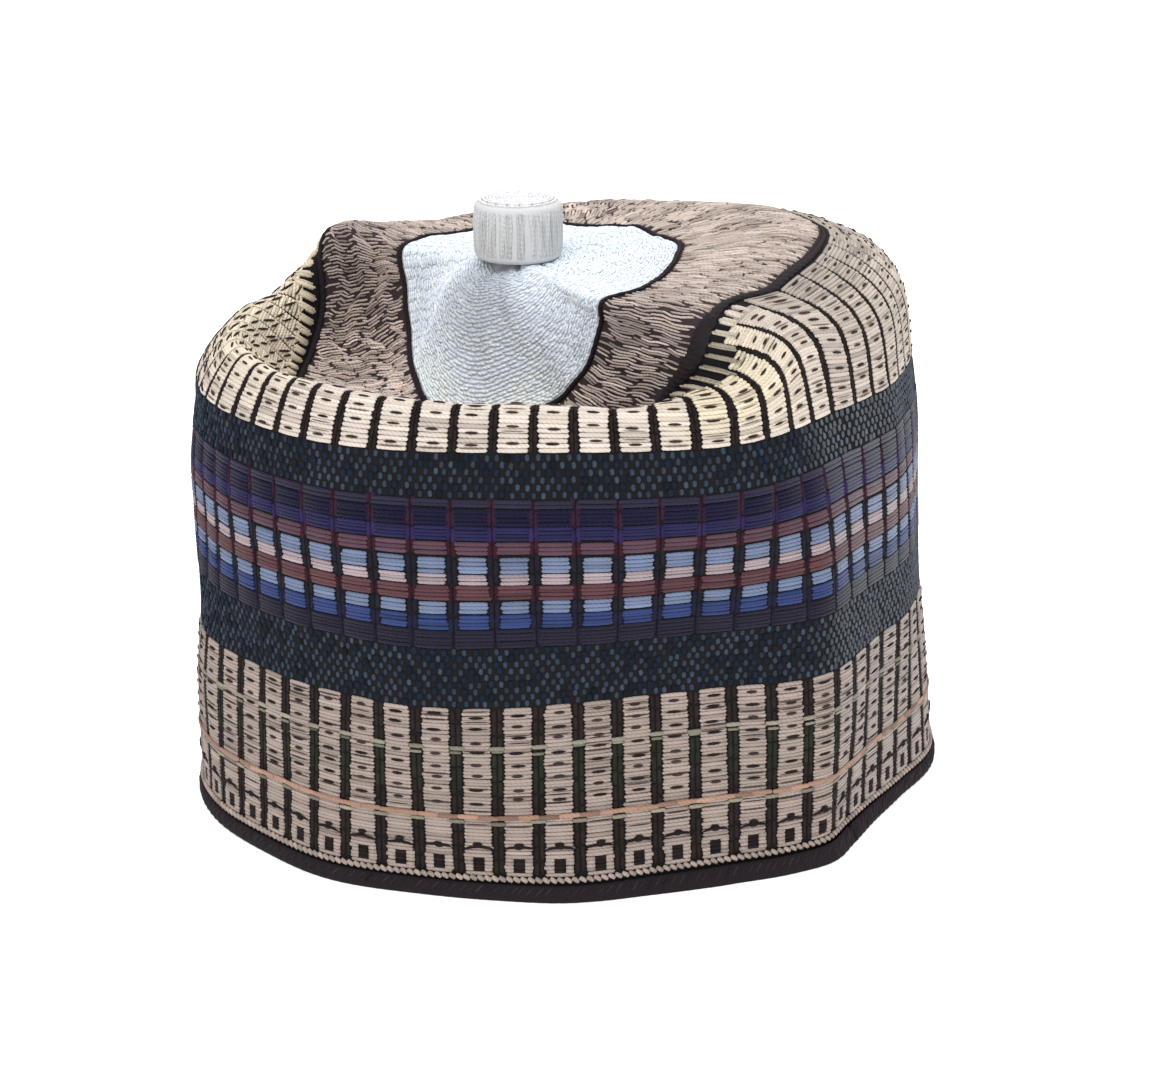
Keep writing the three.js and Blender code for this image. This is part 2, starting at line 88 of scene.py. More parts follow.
# Turn round the button, drop of the button's foot, medallion edge and crown seam from the button,
# then how far the rim's crest lies in from the outline and how far it rises
SPOKES = np.array([
    [0, 0.02, -0.71, 0.7, -0.08, -0.67, 0.65, -0.06, 0.045, 0.6],
    [15, 0.05, -0.7, 0.63, -0.28, -0.68, 0.58, -0.29, 0.08, 0.42],
    [30, 0.1, -0.68, 0.45, -0.53, -0.71, 0.46, -0.41, 0.09, 0.37],
    [45, 0.18, -0.63, 0.17, -0.69, -0.74, 0.3, -0.47, 0.09, 0.37],
    [60, 0.28, -0.56, -0.16, -0.78, -0.72, 0.05, -0.46, 0.07, 0.36],
    [75, 0.35, -0.44, -0.31, -0.87, -0.61, -0.26, -0.44, 0.055, 0.36],
    [90, 0.37, -0.25, -0.42, -0.89, -0.43, -0.52, -0.43, 0.05, 0.36],
    [105, 0.35, -0.05, -0.46, -0.83, -0.17, -0.68, -0.42, 0.045, 0.36],
    [120, 0.28, 0.16, -0.57, -0.72, 0.12, -0.73, -0.39, 0.045, 0.34],
    [135, 0.17, 0.29, -0.69, -0.6, 0.36, -0.72, -0.35, 0.045, 0.3],
    [146, 0.09, 0.4, -0.78, -0.42, 0.47, -0.73, -0.23, 0.045, 0.33],
    [156, 0.04, 0.48, -0.85, -0.17, 0.53, -0.78, -0.12, 0.05, 0.42],
    [165, 0.03, 0.5, -0.91, -0.03, 0.57, -0.82, -0.01, 0.06, 0.53],
    [172, 0.02, 0.7, -0.77, 0.0, 0.64, -0.69, 0.02, 0.06, 0.58],
    [178, 0.01, 0.79, -0.55, 0.01, 0.76, -0.52, 0.01, 0.06, 0.65],
    [185, 0.0, 0.86, -0.34, 0.02, 0.84, -0.33, 0.02, 0.055, 0.67],
    [191, 0.0, 0.9, -0.18, 0.02, 0.9, -0.17, 0.02, 0.05, 0.68],
    [198, 0.0, 0.92, -0.03, 0.02, 0.94, -0.03, 0.02, 0.05, 0.68],
    [211, 0.0, 0.94, 0.23, 0.02, 0.99, 0.24, 0.02, 0.045, 0.68],
    [229, 0.0, 0.86, 0.46, 0.02, 0.96, 0.5, 0.01, 0.04, 0.69],
    [245, 0.0, 0.77, 0.65, 0.01, 0.85, 0.7, 0.01, 0.04, 0.69],
    [261, 0.0, 0.63, 0.8, 0.01, 0.67, 0.83, 0.0, 0.04, 0.68],
    [279, 0.0, 0.4, 0.91, 0.0, 0.41, 0.9, 0.0, 0.045, 0.67],
    [300, 0.0, 0.1, 0.96, 0.0, 0.11, 0.93, -0.01, 0.05, 0.66],
    [322, 0.0, -0.21, 0.95, -0.01, -0.21, 0.91, -0.02, 0.05, 0.65],
    [342, 0.01, -0.48, 0.86, -0.04, -0.47, 0.81, -0.04, 0.05, 0.62],
])
print("outline rows:", len(OUTLINE), "spoke rows:", len(SPOKES))

# %% [markdown]
# Values between the rows of a table come from cubic pieces, whose slopes follow the rows on either side.
# The same curve carries a spoke through its stations. numpy works out thousands of points in one go.

# %% Smooth curves through points
def unit(vectors):
    """The same directions, each one long."""
    return vectors / np.maximum(np.linalg.norm(vectors, axis=-1, keepdims=True), 1e-9)


def run_along(points):
    """Distance from the first of a row of points to each of them, along the row."""
    steps = np.linalg.norm(np.diff(points, axis=0), axis=1)
    return np.concatenate([[0], np.cumsum(steps)])


def read_turns(table, turn):
    """A value read between the pairs of turn and value in a table that goes round the cap."""
    turns, values = zip(*table)
    return np.interp(np.mod(turn, 360), turns, values)


def bump_between(turn, low, high, soft):
    """1 between two places and 0 away from them, with soft ends."""
    return np.clip((turn - low) / soft, 0, 1) * np.clip((high - turn) / soft, 0, 1)


def cubic(points, knots, at):
    p0, p1, p2, p3 = points
    t0, t1, t2, t3 = knots
    s0, s1, s2 = t1 - t0, t2 - t1, t3 - t2
    rise0, rise1, rise2 = (p1 - p0) / s0, (p2 - p1) / s1, (p3 - p2) / s2
    lean1 = (rise0 * s1 + rise1 * s0) / (s0 + s1)
    lean2 = (rise1 * s2 + rise2 * s1) / (s1 + s2)
    t = (at - t1) / s1
    keep = 2 * t**3 - 3 * t**2 + 1
    return keep * p1 + (1 - keep) * p2 + s1 * ((t**3 - 2 * t**2 + t) * lean1 + (t**3 - t**2) * lean2)


def smooth_round(rows, at):
    knots, count = rows[:, 0], len(rows)
    place = (at - knots[0]) % 360 + knots[0]
    first = np.searchsorted(knots, place, side="right") - 1
    near = [first + step for step in (-1, 0, 1, 2)]
    points = [rows[k % count, 1:] for k in near]
    turns = [(knots[k % count] + 360 * (k // count))[..., None] for k in near]
    return cubic(points, turns, place[..., None])


def every(*ranges):
    """Every combination of the values, with one array for each range."""
    return [grid.ravel() for grid in np.meshgrid(*ranges, indexing="ij")]


def direction(degrees):
    angle = np.radians(degrees)
    return np.stack([np.cos(angle), np.sin(angle), np.zeros_like(angle)], axis=-1)


# %% [markdown]
# The wall's cloth is shared out evenly between the two creases by the length of the rim, so columns of
# stitches keep their width. A share of the rim's length therefore says which spoke a column lies on.

# %% From a share of the rim to a spoke and its direction
whole_degrees = np.arange(0.0, 721.0)
rim_points = direction(whole_degrees) * smooth_round(OUTLINE, whole_degrees)[:, 2:3]
rim_lengths = run_along(rim_points)
creases = [BACK_CREASE, FRONT_CREASE, BACK_CREASE + 360]
back_start, front_start, back_end = np.interp(creases, whole_degrees, rim_lengths)
FRONT_SHARE = (front_start - back_start) / (back_end - back_start)
RIM_GIRTH = (back_end - back_start) * OUTLINE_RADIUS


def share_to_turn(share):
    share = np.asarray(share, float)
    laps = np.floor(share)
    return 360 * laps + np.interp(share - laps, [0, FRONT_SHARE, 1], [0, FRONT_TURN, 360])


def turn_to_share(turn):
    turn = np.asarray(turn, float)
    laps = np.floor(turn / 360)
    return laps + np.interp(turn - 360 * laps, [0, FRONT_TURN, 360], [0, FRONT_SHARE, 1])


def wall_direction(turn):
    share = turn_to_share(np.mod(turn, 360))
    return np.interp(back_start + share * (back_end - back_start), rim_lengths, whole_degrees)


print("rim girth in mm:", round(RIM_GIRTH, 1))

# %% [markdown]
# On the real cap the wall is soft cloth, pushed in at its waist and bent over at the rim. A point of the
# wall comes from its direction and height, and each spoke then has eight stations from button to hem.

# %% Points of the cloth
def wall_point(degrees, height):
    hem, waist, rim = np.moveaxis(smooth_round(OUTLINE, degrees), -1, 0)
    heights = np.zeros_like(degrees) + height
    knots = [BINDING_HEIGHT, WAIST_HEIGHT, RIM_HEIGHT]
    below = [2 * knots[0] - knots[1], *knots]
    above = [*knots, 2 * RIM_HEIGHT - WAIST_HEIGHT]
    low = cubic([2 * hem - waist, hem, waist, rim], below, heights)
    high = cubic([hem, waist, rim, 2 * rim - waist], above, heights)
    reach = np.where(heights < WAIST_HEIGHT, low, high) * OUTLINE_RADIUS
    point = direction(degrees) * reach[..., None]
    point[..., 2] = heights
    return point


def spoke_stations(turn):
    row = smooth_round(SPOKES, turn)
    down = wall_direction(turn)
    foot = direction(FIRST_FOOT + turn)
    foot[..., 2] = -row[..., 0]
    rim = wall_point(down, RIM_HEIGHT)
    crest = rim - direction(down) * row[..., 7:8] * OUTLINE_RADIUS
    crest[..., 2] = RIM_HEIGHT + row[..., 8] * CROWN_RISE
    stations = [
        BUTTON_FOOT + 0 * rim,
        BUTTON_FOOT + foot * FOOT_REACH,
        BUTTON_FOOT + row[..., 1:4] * MEDALLION_REACH,
        BUTTON_FOOT + row[..., 4:7] * CROWN_REACH,
        crest,
        rim,
        wall_point(down, WAIST_HEIGHT),
        wall_point(down, WALL_FOOT),
    ]
    points = np.stack(stations, axis=-2)
    steps = np.linalg.norm(np.diff(points, axis=-2), axis=-1)
    lengths = np.concatenate([np.zeros_like(steps[..., :1]), np.cumsum(steps, axis=-1)], axis=-1)
    return points, lengths


# %% [markdown]
# A point of the cloth is found from a spoke's turn and the length of cloth from the button. Shifting the
# solids put the cap's middle over the origin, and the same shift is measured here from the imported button.

# %% The cloth as one function
def raw_cloth(turn, length):
    turn, length = np.broadcast_arrays(np.asarray(turn, float), np.asarray(length, float))
    points, lengths = spoke_stations(turn)
    start = 2 * points[..., :1, :] - points[..., 1:2, :]
    end = 2 * points[..., -1:, :] - points[..., -2:-1, :]
    rows = np.concatenate([start, points, end], axis=-2)
    after = 2 * lengths[..., -1:] - lengths[..., -2:-1]
    knots = np.concatenate([-lengths[..., 1:2], lengths, after], axis=-1)
    first = np.sum(length[..., None] >= lengths[..., 1:-1], axis=-1)
    near = [first + step for step in (0, 1, 2, 3)]
    picked = [np.take_along_axis(rows, k[..., None, None], axis=-2)[..., 0, :] for k in near]
    marks = [np.take_along_axis(knots, k[..., None], axis=-1) for k in near]
    return cubic(picked, marks, length[..., None])


button_low, button_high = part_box("top_button")
button_middle = np.array((button_low + button_high) / 2) / MM
SHIFT = np.array([button_middle[0] - BUTTON_FOOT[0], button_middle[1] - BUTTON_FOOT[1], 0])
HEM_FADE, SEAM_FADE = 30, 12

# Waves round the cap, slant down the cloth, start and depth of each ripple
RIPPLES = [(7, 0.030, 0.3, 0.34), (12, -0.055, 1.2, 0.24), (19, 0.085, 2.6, 0.16), (31, -0.12, 0.9, 0.09)]


def ripple(turn, length):
    """Small unevenness of soft cloth, fading out at the hem and at the crown seam."""
    lengths = spoke_stations(turn)[1]
    fade_hem = np.clip((lengths[..., HEM] - length) / HEM_FADE, 0, 1)
    fade_seam = np.clip(np.abs(length - lengths[..., SEAM]) / SEAM_FADE, 0, 1)
    angle = np.radians(turn)
    waves = 0
    for times, slant, start, size in RIPPLES:
        waves = waves + size * np.sin(times * angle + slant * length + start)
    return waves * fade_hem * fade_seam


# How far below the rim, and how far in the left side of the wall hangs there
SLACK = [(-4, 0), (0, 0.4), (6, 2.6), (15, 3.7), (32, 3.7), (52, 1.8), (76, 0)]
SLACK_SIDE = 178

# Turn, and how far the crown's edge sags there
SAG = [(286, 0), (300, 1), (310, 2), (320, 3), (328, 3.5), (335, 2.6), (345, 1.7), (352, 0.6), (358, 0)]


def cloth(turn, length):
    """The outer face of the cloth. The left side hangs flatter than the solid and the back left sags."""
    turn, length = np.broadcast_arrays(np.asarray(turn, float), np.asarray(length, float))
    side = wall_direction(turn)
    lengths = spoke_stations(turn)[1]
    edge, seam, rim = [lengths[..., station] for station in (EDGE, SEAM, RIM)]
    facing_left = np.clip(np.cos(np.radians(side - SLACK_SIDE)), 0, 1) ** 2
    slack = np.interp(length - rim, *zip(*SLACK)) * facing_left
    reach = np.where(length < seam, seam - edge, rim - seam)
    hump = 0.5 + 0.5 * np.cos(math.pi * np.clip((length - seam) / reach, -1, 1))
    point = raw_cloth(turn, length) + SHIFT - direction(side) * slack[..., None]
    point[..., 2] -= read_turns(SAG, turn) * hump
    return point


def cloth_normal(turn, length):
    turn_step, length_step = 0.4, 0.5
    along = cloth(turn, length + length_step) - cloth(turn, length - length_step)
    around = cloth(turn + turn_step, length) - cloth(turn - turn_step, length)
    return unit(np.cross(along, around))


def cloth_and_normal(turn, length):
    normal = cloth_normal(turn, length)
    return cloth(turn, length) + normal * ripple(turn, length)[..., None], normal


def station_length(turn, station):
    return spoke_stations(np.asarray(turn, float))[1][..., station]


CORRECTIONS = 5


def wall_length(turn, height):
    """Length of cloth down a spoke to a height on the wall, by a few corrections of a first guess."""
    turn, height = np.broadcast_arrays(np.asarray(turn, float), np.asarray(height, float))
    length = station_length(turn, RIM) + RIM_HEIGHT - height
    for correction in range(CORRECTIONS):
        length = length + cloth(turn, length)[..., 2] - height
    return length


print("shift of the packed cap in mm:", SHIFT.round(3))

# %% [markdown]
# A sheet of cloth starts as a bmesh grid, which is then bent: its columns go round the cap and its rows
# go down the spokes. The grid's own coordinates become the UV map, in millimetres, so that a weave
# follows every fold. The Solidify modifier gives the sheet its thickness, inwards from the outer face.

# %% Bending a grid into a sheet of cloth
WELD, FINE_WELD = 0.02, 0.002


def finish_mesh(name, shape):
    mesh = bpy.data.meshes.new(name)
    shape.to_mesh(mesh)
    shape.free()
    for face in mesh.polygons:
        face.use_smooth = True
    piece = bpy.data.objects.new(name, mesh)
    bpy.context.scene.collection.objects.link(piece)
    return piece


def bent_grid(name, across, down, place, uv_size, flip=False):
    """A grid whose two shares, along and across, are bent to the places that a function gives."""
    shape = bmesh.new()
    bmesh.ops.create_grid(shape, x_segments=across, y_segments=down, size=0.5)
    uv = shape.loops.layers.uv.new("cloth_mm")
    for face in shape.faces:
        for corner in face.loops:
            corner[uv].uv = ((corner.vert.co.x + 0.5) * uv_size[0], (corner.vert.co.y + 0.5) * uv_size[1])
    spots = np.array([vertex.co[:2] for vertex in shape.verts]) + 0.5
    for vertex, point in zip(shape.verts, place(spots[:, 0], spots[:, 1]) * MM):
        vertex.co = point
    if flip:
        bmesh.ops.reverse_faces(shape, faces=shape.faces)
    bmesh.ops.remove_doubles(shape, verts=shape.verts, dist=WELD * MM)
    return finish_mesh(name, shape)


def cloth_sheet(name, around, down, first, last, depth):
    """Sheet between two lengths, each given as a function of the turn."""
    def place(share, drop):
        turn = share_to_turn(share)
        length = first(turn) + (last(turn) - first(turn)) * drop
        return cloth_and_normal(turn, length)[0]
    piece = bent_grid(name, around, down, place, (RIM_GIRTH, depth), flip=True)
    solid = piece.modifiers.new("thickness", "SOLIDIFY")
    solid.thickness = CLOTH * MM
    solid.offset = -1
    return piece


def length_beside(station, gap):
    """A function of the turn: the length of cloth at a station and a gap past it."""
    return lambda turn: station_length(turn, station) + gap


SEAM_GAP, EDGE_GAP = 0.8, 0.5

# Name, faces round and down, where the sheet starts and ends, and its depth for the weave
wall = cloth_sheet("wall_cloth", 430, 98, length_beside(SEAM, SEAM_GAP), length_beside(HEM, 0), 150)
crown = cloth_sheet("crown_cloth", 480, 24, length_beside(EDGE, EDGE_GAP), length_beside(SEAM, -SEAM_GAP), 34)
medallion = cloth_sheet("medallion_cloth", 300, 34, lambda turn: 0 * turn, length_beside(EDGE, -EDGE_GAP), 44)
print("faces of the sheets:", [len(sheet.data.polygons) for sheet in (wall, crown, medallion)])

# %% [markdown]
# Embroidery is thousands of short stitches. Each one is a small closed body, thick in its middle and
# sunk into the cloth at both ends. One long grid makes them all: it is cut into as many short strips
# as there are stitches, and every strip is rolled up round its own path on the cloth.

# %% Laying stitches on the cloth
# Profiles of a stitch: places along it, then its thickness there
BLUNT = np.array([[0, 0.06, 0.5, 0.94, 1], [0, 0.85, 1, 0.85, 0]])
SEED = np.array([[0, 0.22, 0.78, 1], [0, 0.9, 0.9, 0]])
WAVY = np.array([[0, 0.08, 0.36, 0.64, 0.92, 1], [0, 0.85, 1, 1, 0.85, 0]])
DASH = np.array([[0, 0.2, 0.5, 0.8, 1], [0, 0.75, 1, 0.75, 0]])
UV_STEP = 3.7


def rolled_strips(name, centre, sideways, outwards, taper, width, height, thread_colour, sides=5):
    """Closed bodies, one for each row of the centre points, with a colour for each body."""
    count, marks = centre.shape[:2]
    shape = bmesh.new()
    cells = count * marks - 1
    bmesh.ops.create_grid(shape, x_segments=cells, y_segments=sides, size=0.5)
    places = [int((face.calc_center_median().x + 0.5) * cells) for face in shape.faces]
    joints = [face for face, place in zip(shape.faces, places) if place % marks == marks - 1]
    bmesh.ops.delete(shape, geom=joints, context="FACES_ONLY")
    mesh = bpy.data.meshes.new(name)
    shape.to_mesh(mesh)
    shape.free()
    spots = np.empty(len(mesh.vertices) * 3)
    mesh.vertices.foreach_get("co", spots)
    spots = spots.reshape(-1, 3) + 0.5
    column = np.rint(spots[:, 0] * cells).astype(int)
    turn_share = np.rint(spots[:, 1] * sides) / sides
    stitch, mark = column // marks, column % marks
    angle = -2 * math.pi * turn_share
    swell = taper[mark]
    width, height = np.broadcast_to(width, count)[stitch], np.broadcast_to(height, count)[stitch]
    side_size, out_size = width * swell * np.cos(angle), height * swell * np.sin(angle)
    points = centre[stitch, mark] + sideways[stitch, mark] * side_size[:, None]
    points += outwards[stitch, mark] * out_size[:, None]
    mesh.vertices.foreach_set("co", (points * MM).ravel())
    shade = mesh.attributes.new("thread_colour", "FLOAT_COLOR", "POINT")
    opaque = np.ones((len(stitch), 1))
    shade.data.foreach_set("color", np.concatenate([thread_colour[stitch], opaque], axis=1).ravel())
    run = np.linalg.norm(np.diff(centre, axis=1), axis=-1)
    run = np.concatenate([np.zeros((count, 1)), np.cumsum(run, axis=1)], axis=1)
    corners = np.empty(len(mesh.loops), int)
    mesh.loops.foreach_get("vertex_index", corners)
    uv = mesh.uv_layers.new(name="thread_mm")
    girth = width * 2 * math.pi * turn_share
    flat = np.stack([run[stitch, mark] + UV_STEP * stitch, girth], axis=1)
    uv.data.foreach_set("uv", flat[corners].ravel())
    shape = bmesh.new()
    shape.from_mesh(mesh)
    bpy.data.meshes.remove(mesh)
    bmesh.ops.remove_doubles(shape, verts=shape.verts, dist=FINE_WELD * MM)
    loose = [vertex for vertex in shape.verts if not vertex.link_faces]
    bmesh.ops.delete(shape, geom=loose, context="VERTS")
    return finish_mesh(name, shape)


def lay_stitches(name, turns, lengths, width, height, lift, thread_colour, profile=BLUNT):
    """Stitches on the cloth, with a row of turns and lengths for each."""
    centre, outwards = cloth_and_normal(turns, lengths)
    sideways = unit(np.cross(outwards, np.gradient(centre, axis=1)))
    raised = centre + outwards * np.reshape(lift, (-1, 1, 1))
    piece = rolled_strips(name, raised, sideways, outwards, profile[1], width, height, thread_colour)
    print(name, "stitches:", len(turns), "faces:", len(piece.data.polygons))
    return piece


def lay_on_paths(name, path, along_face, guide, taper, width, height, thread_colour, sides=5):
    """Stitches on paths of their own. The guide points out of the face that they lie on."""
    heading = np.gradient(path, axis=1)
    outwards = unit(np.cross(along_face, heading))
    outwards *= np.sign(np.sum(outwards * guide, axis=-1, keepdims=True))
    sideways = unit(np.cross(outwards, heading))
    return rolled_strips(name, path, sideways, outwards, taper, width, height, thread_colour, sides)


def srgb(red, green, blue):
    """Colour of a dyed thread, given in the usual 0 to 255, as the shader wants it."""
    values = np.array([red, green, blue]) / 255
    return np.where(values <= 0.04045, values / 12.92, ((values + 0.055) / 1.055) ** 2.4)


def dyed(colour, count, spread):
    """One colour for each stitch, a little lighter or darker from thread to thread."""
    shade = 1 + spread * chance.standard_normal((count, 1))
    return np.clip(np.broadcast_to(colour, (count, 3)) * shade, 0, 1)


# %% [markdown]
# The wall's pattern is ruled in columns. A column is a ladder of satin stitches about seven millimetres
# wide, and between two columns a dark bar shows. The columns run on over the rim as far as the crown
# seam, where they are narrower. Heights on the wall say where each band of the pattern lies.

# %% Dyes and where the columns stand
COLUMNS, BAR = 59, 0.29
CREAM, PALE_CREAM = srgb(168, 153, 145), srgb(218, 206, 197)
YELLOW_CREAM, GREY_CREAM = srgb(229, 216, 192), srgb(172, 162, 153)
PEACH, TAN, BRIDGE = srgb(168, 153, 159), srgb(164, 130, 112), srgb(142, 137, 122)
LIGHT_BLUE, ROYAL = srgb(113, 126, 155), srgb(48, 64, 114)
VIOLET, NAVY = srgb(34, 32, 74), srgb(14, 12, 46)
BROWN, RUST, MAROON, PLUM = srgb(88, 62, 75), srgb(92, 60, 65), srgb(52, 20, 32), srgb(30, 28, 46)
NEAR_BLACK, SLATE, SPECK = srgb(32, 24, 25), srgb(17, 28, 43), srgb(47, 59, 74)
TAUPE, BACK_SHADED_TAUPE, WHITE = srgb(208, 192, 184), srgb(188, 173, 164), srgb(233, 242, 253)
BAR_TOP, MARK_X, FRONT_Y, SHARES = 113.3, -16.9, -20, 1800
LEVELS = [5, 36, 80, BAR_TOP]


def level_turns(height):
    """Turns at equal distances round the wall at one height, from the bar that stands at the mark."""
    fine = np.linspace(0, 360, 1441)
    points = cloth(fine, wall_length(fine, height))
    run = run_along(points)
    front = np.flatnonzero(points[:, 1] < FRONT_Y)
    front = front[np.argsort(points[front, 0])]
    goal = np.interp(MARK_X, points[front, 0], run[front]) + np.linspace(0, 1, SHARES + 1) * run[-1]
    laps = np.floor(goal / run[-1])
    return 360 * laps + np.interp(goal - laps * run[-1], run, fine)


LEVEL_TURNS = np.stack([level_turns(height) for height in LEVELS])


def column_turn(number, height=BAR_TOP):
    """Turn of a place counted in columns from the mark. Bars stand at whole numbers, upright on the wall."""
    share, height = np.broadcast_arrays(np.asarray(number, float) / COLUMNS, np.asarray(height, float))
    laps = np.floor(share)
    spot = (share - laps) * SHARES
    left = np.minimum(spot.astype(int), SHARES - 1)
    level = np.interp(height, LEVELS, np.arange(len(LEVELS)))
    low = np.minimum(level.astype(int), len(LEVELS) - 2)
    part, rise = spot - left, level - low
    below, above = [
        LEVEL_TURNS[row, left] * (1 - part) + LEVEL_TURNS[row, left + 1] * part for row in (low, low + 1)
    ]
    return 360 * laps + below * (1 - rise) + above * rise


print("turn of the marked bar at each level:", LEVEL_TURNS[:, 0].round(1))

# %% [markdown]
# Satin stitch is thread laid level, side by side, until it hides the cloth. Here a band of the wall is
# given by its two heights and its dye, and its stitches are laid at an even pitch, each a little off.
# Where the dark squares near the hem stand, the cream stitches stop short on both sides.

# %% Satin columns of the wall
def wall_ladder(low, high, pitch):
    """Column number and height of every stitch in a band of the wall, and the true pitch."""
    rungs = max(1, round((high - low) / pitch))
    heights = low + (np.arange(rungs) + 0.5) * (high - low) / rungs
    columns, levels = every(np.arange(float(COLUMNS)), heights)
    return columns, levels, (high - low) / rungs


def across_column(columns, gap):
    """Places across each column, from one bar to the next, for the marks of a stitch."""
    sides = chance.normal(0, UNEVEN, (len(columns), 2))
    gap = np.reshape(gap, (-1, 1))
    start = columns[:, None] + gap / 2 + sides[:, :1]
    return start + (1 - gap + sides[:, 1:] - sides[:, :1]) * BLUNT[0]


UNEVEN, LEVEL_SPREAD, HALF_OF_PITCH, SATIN_LIFT = 0.014, 0.07, 0.6, 0.2
HAZE_SIDE, HAZE, HAZE_COLOUR = (8.2, 17, 1.2), 0.14, srgb(196, 200, 206)


def hazed(colours, numbers):
    """The panel beyond the front crease is mixed a little towards a pale blue-grey."""
    haze = HAZE * bump_between(np.mod(numbers, COLUMNS), *HAZE_SIDE)[:, None]
    return colours + (HAZE_COLOUR - colours) * haze


def aged(colours, spread=0.08, dark_share=0.1, dark=0.76):
    """Every stitch a little lighter or darker, and some of them worn dark."""
    shade = 1 + spread * chance.standard_normal((len(colours), 1))
    worn = np.where(chance.random((len(colours), 1)) < dark_share, dark, 1)
    return np.clip(colours * shade * worn, 0, 1)


SQUARE_LOW, SQUARE_HIGH, SQUARE_SIDES = 7.5, 11.3, (0.37, 0.64)


def satin(name, bands, relief):
    """Level satin stitches. Each band has its lower and upper height, pitch, dye and gap."""
    turns, lengths, widths, dyes = [], [], [], []
    for low, high, pitch, colour, gap in bands:
        columns, levels, step = wall_ladder(low, high, pitch)
        level = levels[:, None] + chance.normal(0, LEVEL_SPREAD, (len(columns), 1))
        across = across_column(columns, np.full(len(columns), gap))
        beside = (levels > SQUARE_LOW) & (levels < SQUARE_HIGH)
        first, last = across[beside, :1], across[beside, -1:]
        left_end, right_start = [columns[beside, None] + side for side in SQUARE_SIDES]
        across[beside] = first + (left_end - first) * BLUNT[0]
        across = np.concatenate([across, right_start + (last - right_start) * BLUNT[0]])
        columns = np.concatenate([columns, columns[beside]])
        level = np.concatenate([level, level[beside]])
        turn = column_turn(across, level)
        turns.append(turn)
        lengths.append(wall_length(turn, level))
        widths.append(np.full(len(columns), step * HALF_OF_PITCH))
        dyes.append(hazed(aged(np.broadcast_to(colour, (len(columns), 3))), columns))
    turns, lengths, widths, dyes = [np.concatenate(rows) for rows in (turns, lengths, widths, dyes)]
    return lay_stitches(name, turns, lengths, widths, relief, SATIN_LIFT, dyes)


lower = satin("lower_column_threads", [(6.6, 50.2, 0.95, CREAM, BAR)], relief=0.4)

# Lower height, upper height, pitch, dye and gap between columns
STRIPES = [
    (65.6, 70.2, 0.95, PLUM, 0.06),
    (70.5, 74.0, 0.9, ROYAL, 0.24),
    (74.4, 77.4, 0.9, LIGHT_BLUE, 0.29),
    (77.8, 81.4, 0.9, RUST, 0.14),
    (81.7, 84.3, 0.9, PEACH, 0.28),
    (84.6, 88.4, 0.9, LIGHT_BLUE, 0.29),
    (89.1, 92.2, 0.9, BROWN, 0.16),
    (92.7, 96.0, 0.9, VIOLET, 0.16),
    (96.3, 100.2, 0.9, NAVY, 0.1),
    (100.5, 102.4, 0.8, PLUM * 1.6, 0.05),
]
stripes = satin("stripe_threads", STRIPES, relief=0.42)

# %% [markdown]
# The same columns bend over the rim and run up to the crown seam, getting narrower or wider with the
# cloth. Each is filled with its own number of stitches, so that their pitch stays the same.

# %% Columns over the rim
SHOULDER_SHARES = [0, 0.3, 0.65, 0.88, 1]

# Turn, then the gap between columns at each of the shares up the shoulder
GAPS = np.array([
    [0, 0.2, 0.1, 0.05, 0.05, 0.3],
    [50, 0.24, 0.08, 0.04, 0.04, 0.3],
    [68, 0.22, 0.18, 0.16, 0.18, 0.3],
    [135, 0.21, 0.2, 0.18, 0.18, 0.3],
    [150, 0.24, 0.22, 0.14, 0.1, 0.4],
    [165, 0.2, 0.2, 0.2, 0.08, 0.2],
    [180, 0.17, 0.17, 0.15, 0.05, 0.02],
    [235, 0.17, 0.16, 0.12, 0.05, 0.02],
    [335, 0.18, 0.16, 0.12, 0.1, 0.1],
    [360, 0.2, 0.1, 0.05, 0.05, 0.3],
])

# Turn or share, and how yellow or how grey the cream is there
YELLOW_ROUND = [
    (0, 1), (60, 0.9), (80, 0.2), (136, 0.1), (146, 1), (160, 0.9), (168, 0.25), (345, 0.3), (360, 1),
]
YELLOW_UP = [(0, 0.2), (0.3, 1), (1, 1)]
GREY_ROUND = [(165, 0), (178, 1), (300, 0.8), (330, 0)]
GREY_UP = [(0, 0.32), (0.55, 0.58), (0.9, 0.95)]
TOOTH_DEPTH, TOOTH_MORE, BUNCHED = 4.6, 2.4, (142, 166, 8)
LEFT_TEETH, FRONT_TEETH, SEAM_OVERLAP = (350, 66), (136, 171), 1


def shoulder_length(turn, share):
    """Length of cloth at a share of the way from the top band to the crown seam."""
    start = wall_length(turn, BAR_TOP)
    return start + (station_length(turn, SEAM) + SEAM_GAP + SEAM_OVERLAP - start) * share


def column_gap(turn, share):
    """The gap between columns, read between the rows of turns and the shares up the shoulder."""
    gap = 0
    for place, weights in enumerate(np.eye(len(SHOULDER_SHARES)), start=1):
        gap = gap + read_turns(GAPS[:, [0, place]], turn) * np.interp(share, SHOULDER_SHARES, weights)
    return gap


middle_turns = column_turn(np.arange(COLUMNS) + 0.5)
shoulder_run = shoulder_length(middle_turns, 0) - shoulder_length(middle_turns, 1)


def toothed(turn):
    """1 where short bundles of thread hold the columns to the seam: at the left and at the front right."""
    turn = np.mod(turn, 360)
    at_left = (turn > LEFT_TEETH[0]) | (turn < LEFT_TEETH[1])
    at_front = (turn > FRONT_TEETH[0]) & (turn < FRONT_TEETH[1])
    return (at_left | at_front).astype(float)


def teeth_depth(turn):
    """How far the bundles reach from the seam, longer in the bunched cloth at the front right."""
    return TOOTH_DEPTH + TOOTH_MORE * bump_between(np.mod(turn, 360), *BUNCHED)


